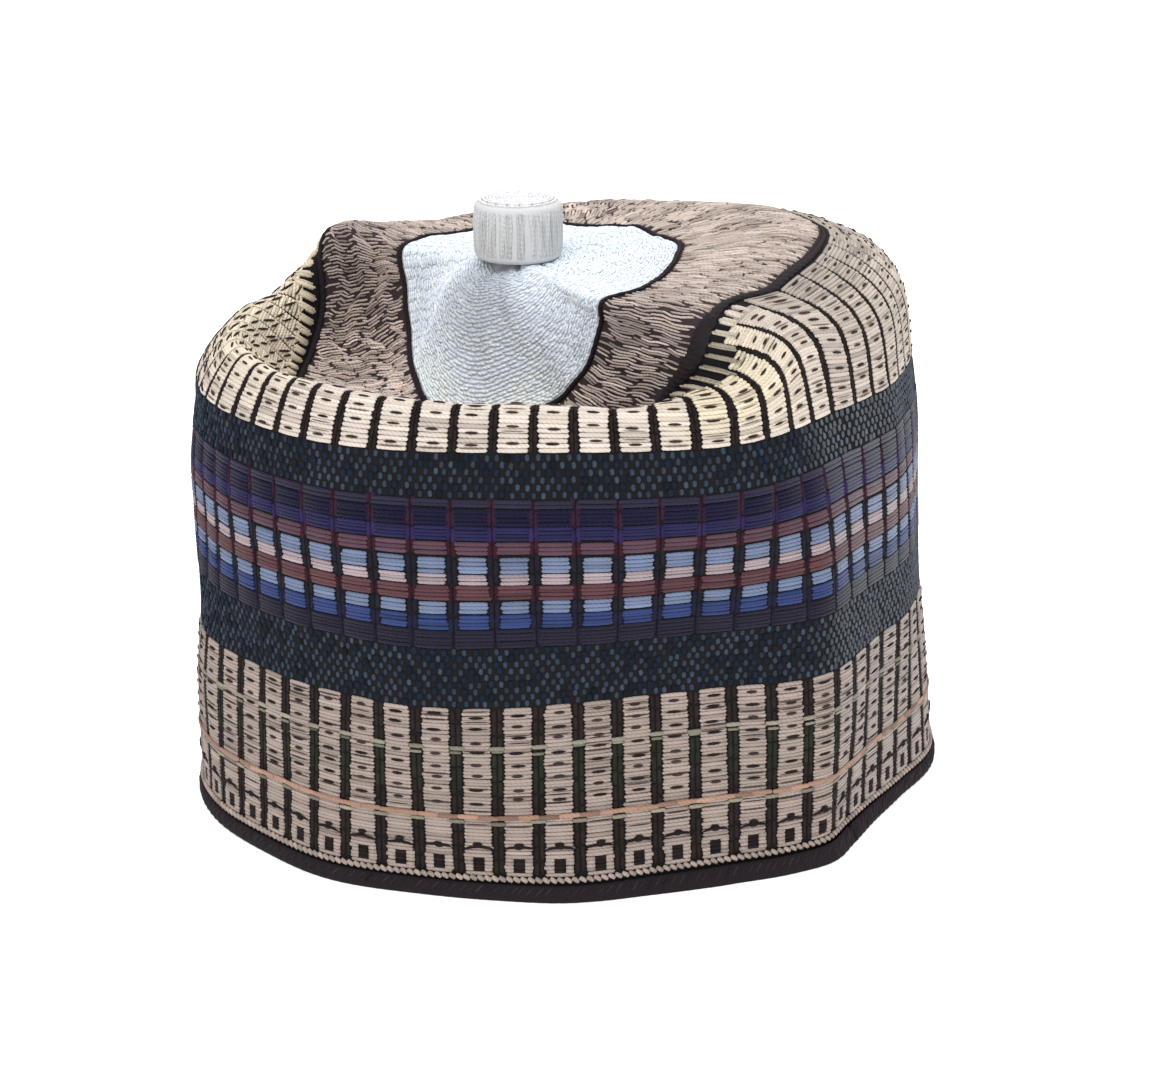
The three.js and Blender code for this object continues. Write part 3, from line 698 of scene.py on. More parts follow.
def shoulder_rows(pitch):
    """Column, share up the shoulder and pitch of every stitch that lies clear of the bundles."""
    rows = np.maximum(4, np.rint(shoulder_run / pitch)).astype(int)
    columns = np.repeat(np.arange(COLUMNS), rows)
    shares = np.concatenate([(np.arange(count) + 0.5) / count for count in rows])
    reach, teeth_reach = shoulder_run[columns], (toothed(middle_turns) * teeth_depth(middle_turns))[columns]
    clear = shares * reach < reach - teeth_reach
    return columns[clear], shares[clear], np.repeat(shoulder_run / rows, rows)[clear]


def shoulder_colour(turn, share):
    yellow = read_turns(YELLOW_ROUND, turn) * np.interp(share, *zip(*YELLOW_UP))
    grey = read_turns(GREY_ROUND, turn) * np.interp(share, *zip(*GREY_UP))
    colour = PALE_CREAM + (YELLOW_CREAM - PALE_CREAM) * yellow[:, None]
    return colour + (GREY_CREAM - colour) * grey[:, None]


RUNG_PITCH, RUNG_HALF, RUNG_RELIEF = 1.04, 0.66, 0.36
rung_columns, rung_shares, rung_pitch = shoulder_rows(RUNG_PITCH)
rung_turns = middle_turns[rung_columns]
turns = column_turn(across_column(rung_columns, column_gap(rung_turns, rung_shares)))
lengths = shoulder_length(turns, rung_shares[:, None])
rung_dye = aged(shoulder_colour(rung_turns, rung_shares))
shoulder = lay_stitches(
    "shoulder_column_threads", turns, lengths, rung_pitch * RUNG_HALF, RUNG_RELIEF, SATIN_LIFT, rung_dye
)

# %% [markdown]
# Where the cloth is gathered, at the left and at the front right, the columns end in short bundles of
# thread like the teeth of a comb, and the dark cloth shows between them beside the seam. The bundles at
# the front right, where the cloth is bunched up, are longer, and their colour is darkened there as
# painted shade of the fold.

# %% Comb of short bundles beside the seam
TEETH_FROM, TEETH_TO, TOOTH_PITCH, STRAND_PITCH = -10, 171, 3.5, 0.62
STRANDS, STRAND_IN, STRAND_OUT, FOLD_SHADE_TURNS = [-1, 0, 1], 1.4, 2.3, (138, 168, 8)
tooth_line = length_beside(SEAM, 3)


def degree_size(length_of, turn):
    """Millimetres to a degree of turn along a line round the cap."""
    ahead, behind = [cloth(turn + step, length_of(turn + step)) for step in (0.5, -0.5)]
    return np.linalg.norm(ahead - behind, axis=1)


fine_turns = np.linspace(TEETH_FROM, TEETH_TO, 1811)
fine_run = run_along(cloth(fine_turns, tooth_line(fine_turns)))
tooth_places = np.arange(0.5, fine_run[-1] / TOOTH_PITCH) * TOOTH_PITCH
tooth_turns = np.interp(tooth_places, fine_run, fine_turns)
tooth_turns = np.repeat(tooth_turns[toothed(tooth_turns) > 0], len(STRANDS))
strand = np.tile(STRANDS, len(tooth_turns) // len(STRANDS))
aside = strand * STRAND_PITCH + chance.normal(0, 0.06, len(strand))
tooth_turns = tooth_turns + aside / degree_size(tooth_line, tooth_turns)
inner = STRAND_IN + 0.5 * np.abs(strand) + chance.normal(0, 0.15, len(strand))
outer = teeth_depth(tooth_turns) + STRAND_OUT + chance.normal(0, 0.7, len(strand))
bunched_and_shaded = bump_between(tooth_turns, *FOLD_SHADE_TURNS)
tooth_path = tooth_turns[:, None] + 0 * BLUNT[0]
tooth_length = station_length(tooth_path, SEAM) + SEAM_GAP
tooth_length += inner[:, None] + (outer - inner)[:, None] * BLUNT[0]
tooth_colour_with_shade = aged(shoulder_colour(tooth_turns, 0 * tooth_turns + 1), dark_share=0.12)
# Painted shade of the fold on the bundles at the front right.
tooth_colour_with_shade *= (1 - 0.5 * bunched_and_shaded)[:, None]
sewn = (bunched_and_shaded < 0.3) | (strand > -1)
teeth = lay_stitches("seam_comb", tooth_path[sewn], tooth_length[sewn], 0.42, 0.75, 0.35, tooth_colour_with_shade[sewn])

# %% [markdown]
# The bars are dark stitches that run up and down, two side by side. Over the stripes they are dyed navy
# or maroon. Small dark dashes lie across the middle of each column, a few millimetres apart, and finer
# dark lines lie in the grooves between the stitches as painted shade.

# %% Bars and dashes
BAR_ASIDE, BAR_LIFT, SHOULDER_BAR_LIFT, THIN = 0.07, 0.05, 0.08, 0.3


def bar_stitches(name, levels, thread_colour, half_width=0.7):
    """Upright stitches along every bar of the wall, between each two neighbouring heights."""
    bars, steps, sides = every(np.arange(COLUMNS), np.arange(len(levels) - 1), (-BAR_ASIDE, BAR_ASIDE))
    levels = np.asarray(levels, float)
    slide = chance.normal(0, 0.08, len(bars)) * (levels[1] - levels[0])
    low, high = levels[steps] + slide, levels[steps + 1] + slide
    level = low[:, None] + (high - low)[:, None] * BLUNT[0]
    turn = column_turn((bars + sides)[:, None], level)
    dyes = dyed(thread_colour[steps], len(bars), 0.12)
    return lay_stitches(name, turn, wall_length(turn, level), half_width, THIN, BAR_LIFT, dyes)


def zone_dye(levels, table, fallback):
    """The dye of each step between two heights, from a table of lower height, upper height and dye."""
    middles = (np.asarray(levels)[1:] + np.asarray(levels)[:-1]) / 2
    return np.array([next((c for low, high, c in table if low <= m < high), fallback) for m in middles])


BAR_COLOUR, GREEN_BAR, RIM_BAR = srgb(38, 30, 29), srgb(36, 39, 30), srgb(36, 28, 26)
GREEN_ZONE = [(28, 39, GREEN_BAR)]
BAR_ZONES = [
    (65, 70.3, PLUM * 0.8),
    (70, 74.2, srgb(26, 26, 48)),
    (74, 77.6, srgb(26, 25, 38)),
    (77, 81.5, MAROON * 0.8),
    (81, 88.7, srgb(26, 24, 34)),
    (88, 92.4, MAROON),
    (92, 96.1, srgb(44, 32, 74)),
    (96, 104, srgb(48, 24, 42)),
]
LOWER_BARS = [(7.0, 21.6, 5), (24.2, 38.6, 5), (40.2, 50, 4)]
lower_levels = np.concatenate([np.linspace(*bars) for bars in LOWER_BARS])
lower_bars = bar_stitches("lower_bars", lower_levels, zone_dye(lower_levels, GREEN_ZONE, BAR_COLOUR))
stripe_levels = [65.6, 70.3, 74.2, 77.6, 81.5, 84.5, 88.7, 92.4, 96.1, 100.3, 102.6]
stripe_dye = zone_dye(stripe_levels, BAR_ZONES, NAVY)
stripe_bars = bar_stitches("stripe_bars", stripe_levels, stripe_dye, half_width=0.82)

STEPS = 12
bars, step, side = every(np.arange(COLUMNS), np.arange(STEPS), (-1, 1))
bar_turns = column_turn(bars)
low_share = (step + chance.normal(0, 0.1, len(bars))) / STEPS
middle_share = (step + 0.5) / STEPS
bar_gap = column_gap(bar_turns, middle_share)
share_path = low_share[:, None] + BLUNT[0] / STEPS
beside_bar = [column_turn(bars + half) for half in (-0.5, 0.5)]
left_point, right_point = [cloth(turn, shoulder_length(turn, middle_share)) for turn in beside_bar]
bar_half = bar_gap * np.linalg.norm(right_point - left_point, axis=1) / 4 + 0.06
keep = (bar_half > 0.3) & (share_path[:, -1] < 1 - toothed(bar_turns) * 0.02)
keep &= chance.random(len(bars)) > np.interp(bar_gap, [0.06, 0.2], [0.5, 0])
turn = column_turn((bars + side * bar_gap / 4)[:, None]) + 0 * share_path
length = shoulder_length(turn, share_path)
bar_dye = dyed(RIM_BAR, keep.sum(), 0.15)
shoulder_bars = lay_stitches(
    "shoulder_bars", turn[keep], length[keep], bar_half[keep], THIN, SHOULDER_BAR_LIFT, bar_dye
)


def wall_marks(name, columns, heights, span, half_width, thread_colour, lift, arch=0.0, profile=DASH, relief=THIN):
    """Level marks on the columns of the wall. The arch lifts the middle of a mark."""
    low, high = span
    across = columns[:, None] + low + (high - low) * profile[0] + chance.normal(0, 0.018, (len(columns), 1))
    height = heights[:, None] + arch * (1 - (2 * profile[0] - 1) ** 2)
    turn = column_turn(across, height)
    dyes = dyed(thread_colour, len(columns), 0.2)
    return lay_stitches(name, turn, wall_length(turn, height), half_width, relief, lift, dyes, profile)


def shoulder_marks(name, turn, shares, rise, half_width, relief, lift, colour):
    """Level marks on the columns of the shoulder."""
    length = shoulder_length(turn, shares[:, None]) + rise
    return lay_stitches(name, turn, length, half_width, relief, lift, dyed(colour, len(turn), 0.2), DASH)


LONG_DASH, SHORT_DASH, GROOVE = (0.3, 0.7), (0.35, 0.65), (0.15, 0.85)
SHORT_DYE, GROOVE_SHADE = srgb(60, 46, 48), srgb(74, 62, 58)
RIM_DASH, RIM_GROOVE_SHADE = srgb(54, 43, 40), srgb(120, 105, 94)
columns, levels = wall_ladder(24.6, 50.0, 3.2)[:2]
levels = levels + chance.normal(0, 0.3, len(levels))
long = chance.random(len(levels)) < 0.55
lower_dashes = wall_marks("lower_dashes", columns[long], levels[long], LONG_DASH, 0.4, NEAR_BLACK, 0.6)
columns, levels = columns[~long], levels[~long]
short_dashes = wall_marks("lower_short_dashes", columns, levels, SHORT_DASH, 0.44, SHORT_DYE, 0.6)
# Painted shade: thin dark lines in some of the grooves between the satin stitches of the wall.
columns, levels = wall_ladder(17, 50.0, 1.9)[:2]
some = chance.random(len(levels)) < 0.35
groove_levels = levels[some] + chance.normal(0, 0.25, some.sum())
lower_groove_shade = wall_marks("lower_groove_shade", columns[some], groove_levels, GROOVE, 0.2, GROOVE_SHADE, 0.5)

# The dashes are wider and slant where the cloth is gathered at the left
GATHERED = [(0, 1), (45, 1), (62, 0), (345, 0), (355, 1)]
columns, shares = shoulder_rows(3.6)[:2]
gathered = read_turns(GATHERED, middle_turns[columns])
slope = gathered * chance.uniform(0.5, 1.3, len(columns))
shares = shares + chance.normal(0, 0.015, len(shares))
dash_span = 0.36 + 0.34 * gathered[:, None]
across = columns[:, None] + 0.5 + dash_span * (DASH[0] - 0.5) + chance.normal(0, 0.03, (len(columns), 1))
rise = slope[:, None] * (2 * DASH[0] - 1) * 1.6
turn = column_turn(across)
shoulder_dashes = shoulder_marks("shoulder_dashes", turn, shares, rise, 0.36, 0.3, 0.6, RIM_DASH)
# Painted shade: thin dark lines in some of the grooves between the satin stitches of the shoulder.
columns, shares = shoulder_rows(1.8)[:2]
some = chance.random(len(shares)) < 0.3
turn = column_turn(columns[some][:, None] + 0.18 + 0.64 * DASH[0])
shoulder_groove_shade = shoulder_marks("shoulder_groove_shade", turn, shares[some], 0, 0.17, 0.25, 0.5, RIM_GROOVE_SHADE)

# %% [markdown]
# Above and below the stripes lies a dark band sewn with rows of seed stitches. They are set like bricks,
# and most of them, picked by chance, are a little lighter.

# %% Seed stitches of the dark bands
SEED_PITCH, SEEDS_ROUND, LIGHT_SHARE = 1.75, 236, 0.7
SEED_BANDS = [(50.4, 65.4), (102.7, 113.1)]


def seed_rows(low, high):
    """Place in columns, height and whether it is a light one, for every seed stitch of a band."""
    rows = round((high - low) / SEED_PITCH)
    row, spot = every(np.arange(rows), np.arange(SEEDS_ROUND))
    number = (spot + 0.5 * (row % 2) + chance.normal(0, 0.08, len(row))) / SEEDS_ROUND * COLUMNS
    level = low + (row + 0.5) * (high - low) / rows + chance.normal(0, 0.1, len(row))
    return number, level, chance.random(len(row)) < LIGHT_SHARE


numbers, levels, lights = [np.concatenate(rows) for rows in zip(*[seed_rows(*band) for band in SEED_BANDS])]
seed_dye = np.where(lights[:, None], dyed(SPECK, len(lights), 0.25), dyed(SLATE, len(lights), 0.2))
level = levels[:, None] + np.where(lights, 0.9, 1.05)[:, None] * (2 * SEED[0] - 1)
turn = column_turn(numbers[:, None], level)
seed_half = np.where(lights, 0.66, 0.9)
seed_dye = hazed(seed_dye, numbers)
length = wall_length(turn, level)
seeds = lay_stitches("band_seed_stitches", turn, length, seed_half, 0.36, 0.1, seed_dye, SEED)

# %% [markdown]
# The thin crossing threads near the hem are laid last: a tan line over the columns and bars, a dark
# arch with a knot on each column, a dark square under it, and a row of cream beads that joins the
# columns to the binding. Pale threads also bridge the bars at two heights.

# %% Lines and squares near the hem
half_columns = np.arange(2 * COLUMNS) / 2
every_column = np.arange(float(COLUMNS))
tan_levels = 22.0 + chance.normal(0, 0.1, len(half_columns))
tan_line = wall_marks(
    "tan_line", half_columns, tan_levels, (-0.03, 0.53), 0.7, TAN, 0.62, profile=BLUNT, relief=0.35
)

# Name, height, spread of the heights, reach over the column, half width, dye, lift, arch and profile
HEM_ROWS = [
    ("bar_bridges_low", 20.7, 0.2, (-0.2, 0.2), 0.6, BRIDGE, 0.4, 0.0, BLUNT),
    ("bar_bridges_top", 39.9, 0.2, (-0.2, 0.2), 0.6, BRIDGE, 0.4, 0.0, BLUNT),
    ("bar_bridges_above", 38.8, 0.3, (-0.15, 0.15), 0.4, BRIDGE * 0.7, 0.35, 0.0, BLUNT),
    ("hem_arches", 13.4, 0.25, (0.06, 0.94), 0.42, NEAR_BLACK, 0.66, 1.0, DASH),
    ("hem_knots_0", 14.1, 0.15, (0.37, 0.63), 0.6, NEAR_BLACK, 0.7, 0.0, DASH),
    ("hem_knots_1", 14.8, 0.15, (0.37, 0.63), 0.6, NEAR_BLACK, 0.7, 0.0, DASH),
]
SQUARE = (0.06, (0.345, 0.665), 0.62, NEAR_BLACK, 0.12, 0.0, BLUNT)
SQUARE_LEVELS = (7.9, 8.9, 9.9, 10.8)
HEM_ROWS += [(f"hem_squares_{row}", height, *SQUARE) for row, height in enumerate(SQUARE_LEVELS)]
hem_rows = []
for name, height, spread, *rest in HEM_ROWS:
    heights = height + chance.normal(0, spread, COLUMNS)
    hem_rows.append(wall_marks(name, every_column, heights, *rest))
bridges, hem_marks = hem_rows[:3], hem_rows[3:]

BEADS, BEAD_LEVEL, BEAD_DROP, BEAD_REACH = 330, 6.4, 1.1, 0.95
bead_number = (np.arange(BEADS)[:, None] + BEAD_REACH * BLUNT[0]) / BEADS * COLUMNS
bead_height = BEAD_LEVEL - BEAD_DROP * BLUNT[0] + 0 * bead_number
bead_turn = column_turn(bead_number, bead_height)
bead_dye = dyed(CREAM, BEADS, 0.12)
beads = lay_stitches("hem_beads", bead_turn, wall_length(bead_turn, bead_height), 0.62, 0.6, 0.55, bead_dye)

# %% [markdown]
# The ring of the crown between the white medallion and the seam is sewn with taupe threads that run from
# one to the other in small waves, like a fingerprint. Dark cloth shows between them. The lines are set
# at equal distances along the middle of the ring, wherever the fold takes it.

# %% Wavy stitches of the crown ring
LINE_SHARE, LINE_PITCH, WAVE_LONG, WAVE_SHORT = 0.62, 0.98, 10.5, 4.1

# Size, times round the cap and start of each wave in the phase
PHASES = [(2.2, 3, 0), (2.1, 11, 40), (0.5, 37, 0)]

# Turn, and the space left beside the seam, the size of the waves, the painted shade and the thread's half
# width
TURN_IN = [(0, 0.9), (66, 0.9), (84, 1.7), (335, 1.7), (348, 0.9), (360, 0.9)]
WAVE_SIZE = [(0, 0.6), (70, 0.6), (110, 0.5), (130, 0.34), (170, 0.34), (180, 0.5), (330, 0.5), (360, 0.6)]
FOLD_PAINTED_SHADE = [
    (0, 0.64), (10, 0.68), (22, 0.92), (60, 1.06), (120, 1), (140, 0.82),
    (160, 0.74), (172, 0.82), (182, 1), (330, 1), (350, 0.74), (360, 0.64),
]
BACK_PAINTED_SHADE = [(170, 0), (186, 1), (320, 1), (345, 0)]
THREAD_HALF = [(0, 0.33), (60, 0.38), (120, 0.29), (172, 0.29), (185, 0.46), (330, 0.46), (360, 0.33)]


def even_turns(length_of, pitch):
    """Turns at equal distances along a ring of the cloth."""
    fine = np.linspace(0, 360, 2881)
    run = run_along(cloth(fine, length_of(fine)))
    count = round(run[-1] / pitch)
    return np.interp((np.arange(count) + 0.5) / count * run[-1], run, fine)


def ring_length(turn, share):
    """Length of cloth at a share of the way from the medallion's edge to the seam."""
    start, end = station_length(turn, EDGE) + 1.4, station_length(turn, SEAM) - read_turns(TURN_IN, turn)
    return start + (end - start) * share


def ring_line(turn):
    return ring_length(turn, LINE_SHARE)


line_turns = even_turns(ring_line, LINE_PITCH)
line_reach = ring_length(line_turns, 1.0) - ring_length(line_turns, 0.0)
fan = bump_between(line_turns, 120, 174, 10)
pieces_each = np.maximum(3, np.rint(line_reach / (5.6 + 6.5 * fan))).astype(int)
line = np.repeat(np.arange(len(line_turns)), pieces_each)
piece_number = np.concatenate([np.arange(count) for count in pieces_each])
shift = chance.uniform(-0.5, 0.5, len(line_turns))[line] + chance.normal(0, 0.12, len(line))
share = ((piece_number + shift)[:, None] + 1.01 * WAVY[0]) / pieces_each[line][:, None]
share = np.clip(share, 0, 1)
degree, reach = line_turns[line][:, None], line_reach[line][:, None]
distance = 2 * math.pi * share * reach
phase = sum(size * np.sin(np.radians(times * degree + start)) for size, times, start in PHASES)
wave = np.sin(distance / WAVE_LONG + phase) + 0.35 * np.sin(distance / WAVE_SHORT + 2.7 * phase)
aside = read_turns(WAVE_SIZE, degree) * wave + chance.normal(0, 0.1, (len(line), 1))
turn = degree + aside / degree_size(ring_line, line_turns)[line][:, None]
keep = (share[:, -1] - share[:, 0]) * reach[:, 0] > 1.2
patch = np.sin(np.radians(5 * degree) + 3 * share) * np.sin(np.radians(13 * degree) - 5 * share + 1)
# Painted shade, with random patches: the threads are darker on the facets in front of the fold, and a darker
# taupe stands on the back, where the top light falls.
painted_shading = (read_turns(FOLD_PAINTED_SHADE, degree) * (1 + 0.16 * patch))[:, 2:3]
crown_colour_with_shade = (TAUPE + (BACK_SHADED_TAUPE - TAUPE) * read_turns(BACK_PAINTED_SHADE, degree)) * painted_shading
crown_colour_with_shade = aged(crown_colour_with_shade, spread=0.18, dark_share=0.12, dark=0.6)[keep]
half = read_turns(THREAD_HALF, line_turns)[line][keep]
lift = chance.normal(0.14, 0.06, keep.sum())
length = ring_length(turn[keep], share[keep])
crown_threads = lay_stitches("crown_wave_stitches", turn[keep], length, half, 0.34, lift, crown_colour_with_shade, WAVY)

# %% [markdown]
# The medallion is sewn round and round with white thread, in short stitches that follow each other in
# rings about the button. In front of the button their colour is painted darker, as painted shade below
# the button, and lighter towards the front edge, as painted light where the cloth turns up to the light.

# %% Rings of white stitches on the medallion
RINGS, STITCH_PITCH, MIDDLE_IN, EDGE_IN, FRONT = 41, 3.0, 6.5, 1.3, (35, 140, 25)
FRONT_PAINTED_SHADING = [(0, 0.64), (0.28, 0.66), (0.46, 0.78), (0.64, 0.99), (0.78, 1.1), (1, 1.15)]


def medallion_length(turn, place):
    """Length of cloth at a share of the way from the middle to the medallion's edge."""
    inner, outer = station_length(turn, FOOT) - MIDDLE_IN, station_length(turn, EDGE) - EDGE_IN
    return inner + (outer - inner) * place


turns, lengths, places = [], [], []
for place in (np.arange(RINGS) + 0.5) / RINGS:
    starts = even_turns(lambda turn: medallion_length(turn, place), STITCH_PITCH)
    following = np.append(starts[1:], starts[0] + 360)
    start = starts + chance.uniform(0, 360 / len(starts) * 0.5)
    turn = start[:, None] + (following - starts)[:, None] * 1.02 * WAVY[0]
    tilt = chance.normal(0, 0.22, (len(starts), 1)) * (WAVY[0] - 0.5) * 2
    turns.append(turn)
    lengths.append(medallion_length(turn, place) + tilt)
    places.append(np.full(len(starts), place))
turns, lengths, places = [np.concatenate(rings) for rings in (turns, lengths, places)]
# Painted shade in front of the button, turning to painted light towards the front edge.
front_shading_share = bump_between(np.mod(turns[:, 2], 360), *FRONT)
painted_shading = 1 + front_shading_share * (np.interp(places, *zip(*FRONT_PAINTED_SHADING)) - 1)
white_with_painted_shading = np.clip(dyed(WHITE, len(turns), 0.05) * painted_shading[:, None], 0, 1)
lift = chance.normal(0.16, 0.06, len(turns))
white_threads = lay_stitches("medallion_stitches", turns, lengths, 0.45, 0.3, lift, white_with_painted_shading, WAVY)

# %% [markdown]
# Dark cords cover the crown seam and the medallion's edge. Each is one grid rolled into a closed tube
# along its station. The seam's cord is heavier where the cloth is bunched up at the front right, where
# its wide dark band is partly the cord and partly the fold's shadow, painted as cord. It is thinner and
# sunk into the cloth at the back.

# %% Cords on the crown
CORD_AROUND, CORD_KNOTS, CORD_LIFT, CORD_FLAT, BACK = 540, 150, 0.2, 0.8, (200, 335, 14)


def cord_on_cloth(name, station, radius_of, sunk=0.0, sides=10):
    """A closed tube along a station, sunk into the cloth at the back."""
    def place(share, ring_share):
        turn = 360 * share
        point, normal = cloth_and_normal(turn, station_length(turn, station))
        ahead, behind = [cloth(turn + step, station_length(turn + step, station)) for step in (0.3, -0.3)]
        side = unit(np.cross(normal, ahead - behind))
        angle = -2 * math.pi * ring_share
        radius = radius_of(turn) * (1 + 0.1 * np.sin(share * CORD_KNOTS * 2 * math.pi + angle))
        centre = point + normal * (CORD_LIFT - sunk * bump_between(turn, *BACK))[:, None]
        offset = side * np.cos(angle)[:, None] + normal * CORD_FLAT * np.sin(angle)[:, None]
        return centre + radius[:, None] * offset
    return bent_grid(name, CORD_AROUND, sides, place, (360, 6))


def seam_radius(turn):
    # At the front right the heavier cord is partly real cord and partly painted shadow of the fold.
    heavier = 1.15 * bump_between(turn, 136, 172, 12) + 0.3 * bump_between(turn, 172, 192, 8)
    return 0.85 + heavier - 0.35 * bump_between(turn, *BACK)


seam_cord = cord_on_cloth("seam_cord", SEAM, seam_radius, sunk=0.45)
edge_cord = cord_on_cloth("medallion_edge_cord", EDGE, lambda turn: 0.65 + 0 * turn, sides=8)

# %% [markdown]
# The lower edge is bound with dark tape, folded over it and sewn down. Its section is a rounded channel
# of one closed outline, and the tape's two ends meet near the front right.

# %% Hem binding
BUTT_DIRECTION, BUTT_GAP, TAPE_FLARE, FLARE_SIDE = 323, 1.2, 2.1, (272, 345, 22)
GAP, LIP, FLOOR, PUCKERS, PUCKER_DEPTH = 0.3, 0.9, 1.4, 190, 0.12
OUT, IN = GAP + LIP, -CLOTH - GAP

# Distance out from the wall's foot, then height, round the section of the tape
TAPE = np.array([
    [OUT, 0.5], [OUT + 0.25, 1.6], [OUT + 0.2, 3.0], [OUT - 0.1, 4.1], [GAP + 0.4, BINDING_HEIGHT + 0.25],
    [GAP, BINDING_HEIGHT - 0.1], [GAP, FLOOR], [IN, FLOOR], [IN, BINDING_HEIGHT - 0.1],
    [IN - 0.4, BINDING_HEIGHT + 0.2], [IN - LIP, 4.0], [IN - LIP - 0.1, 2.2], [IN - LIP, 0.5],
    [IN - LIP + 0.5, 0.0], [OUT - 0.5, 0.0], [OUT, 0.5],
])


def tape_place(share, round_share):
    half_gap = math.degrees(BUTT_GAP / 2 / OUTLINE_RADIUS)
    degrees = BUTT_DIRECTION + half_gap + (360 - 2 * half_gap) * share
    low, high = wall_point(degrees, WALL_FOOT), wall_point(degrees, BINDING_HEIGHT)
    ahead = wall_point(degrees + 1, WALL_FOOT) - wall_point(degrees - 1, WALL_FOOT)
    out = unit(np.stack([ahead[:, 1], -ahead[:, 0], 0 * share], axis=1))
    reach, height = [np.interp(round_share, np.linspace(0, 1, len(TAPE)), column) for column in TAPE.T]
    pucker = PUCKER_DEPTH * np.sin(share * PUCKERS * 2 * math.pi) * (height > 0.3) * (reach > 0)
    flare = TAPE_FLARE * bump_between(np.mod(degrees, 360), *FLARE_SIDE)
    flare = flare * (reach > 0) * np.clip(1.15 - height / 5, 0, 1)
    base = low + (high - low) * np.clip(height / BINDING_HEIGHT, 0, 1)[:, None]
    point = base + out * (reach + flare + pucker)[:, None]
    point[:, 2] = height
    return point + SHIFT


binding = bent_grid("hem_tape", 720, len(TAPE) - 1, tape_place, (590, 16))
shape = bmesh.new()
shape.from_mesh(binding.data)
open_edges = [edge for edge in shape.edges if edge.is_boundary]
bmesh.ops.holes_fill(shape, edges=open_edges, sides=0)
bmesh.ops.recalc_face_normals(shape, faces=shape.faces)
shape.to_mesh(binding.data)
shape.free()

TAPE_STITCHES, TAPE_SLANT, TAPE_FROM, TAPE_TO = 260, 0.8, 0.07, 0.235
start = np.arange(TAPE_STITCHES)[:, None] + 0.5 + chance.normal(0, 0.1, (TAPE_STITCHES, 1))
slant = (start + TAPE_SLANT * BLUNT[0]) / TAPE_STITCHES
marks = np.linspace(TAPE_FROM, TAPE_TO, len(BLUNT[0])) + 0 * slant
path, ahead = [tape_place(slant.ravel() + step, marks.ravel()) for step in (0, 0.0005)]
path, ahead = [points.reshape(*slant.shape, 3) for points in (path, ahead)]
outward = (path - path.mean(axis=(0, 1))) * [1, 1, 0]
tape_dye = dyed(srgb(46, 35, 41), TAPE_STITCHES, 0.25)
tape_stitches = lay_on_paths("tape_stitches", path, ahead - path, outward, BLUNT[1], 0.34, 0.22, tape_dye)
print("open edges of the tape closed:", len(open_edges))

# %% [markdown]
# The button is a round core wrapped with white thread, which runs over its top, down its side and under
# it. The core is a bevelled cylinder and the wraps are stitches bent round it, with short stitches in
# rings on top.

# %% Thread-wrapped button
BUTTON_RADIUS, BUTTON_HEIGHT, CORE_IN, CORE_LOWER, CORE_BEVEL = 11.5, 15.7, 0.3, 0.7, 1.7
radius = (BUTTON_RADIUS - CORE_IN) * MM
core = bmesh.new()
bmesh.ops.create_cone(
    core, cap_ends=True, segments=64, radius1=radius, radius2=radius, depth=(BUTTON_HEIGHT - CORE_LOWER) * MM
)
flat_rims = [edge for edge in core.edges if abs(edge.verts[0].co.z - edge.verts[1].co.z) < 1e-9]
bevel = {"offset": CORE_BEVEL * MM, "segments": 4, "profile": 0.5, "affect": "EDGES", "material": -1}
bmesh.ops.bevel(core, geom=flat_rims, **bevel)
bmesh.ops.translate(core, verts=core.verts, vec=Vector(button_middle * MM))
button_core = finish_mesh("button_core", core)

# Radius and height along a wrap, from the middle of the top to the underside
TOP, LOW = BUTTON_HEIGHT / 2 - 0.1, -BUTTON_HEIGHT / 2 + 0.35
WRAP = np.array([
    [0.3, TOP + 0.05], [4, TOP + 0.05], [8.4, TOP - 0.05], [10.3, TOP - 0.7], [11.15, TOP - 2.2],
    [11.3, 2.5], [11.3, -2.5], [11.15, LOW + 2.0], [10.4, LOW + 0.6], [8.2, LOW + 0.1],
])
WRAP_TAPER = np.array([0, 0.5, 0.8, 1, 1, 1, 1, 1, 0.9, 0])
WRAPS = 150
wrap_angle = 2 * math.pi * (np.arange(WRAPS) + 0.25 * chance.standard_normal(WRAPS)) / WRAPS
slant = chance.normal(0.1, 0.12, WRAPS)[:, None] * np.linspace(0, 1, len(WRAP))
wave = 0.035 * np.sin(np.linspace(0, 9, len(WRAP)) + 6 * chance.random((WRAPS, 1)))
angles = wrap_angle[:, None] + slant + wave
around = np.stack([np.cos(angles), np.sin(angles), 0 * angles], axis=-1)
across = np.stack([-np.sin(angles), np.cos(angles), 0 * angles], axis=-1)
path = around * WRAP[:, :1]
path[..., 2] = WRAP[:, 1]
outward = around + [0, 0, 0.4]
# The wraps are coloured grey rather than white: painted shade on the button's side. The rings on top stay
# white.
wrap_colour_with_shade = dyed(srgb(198, 200, 202), WRAPS, 0.12)
button_wraps = lay_on_paths(
    "button_wraps", path + button_middle, across, outward, WRAP_TAPER, 0.34, 0.26, wrap_colour_with_shade, sides=6
)

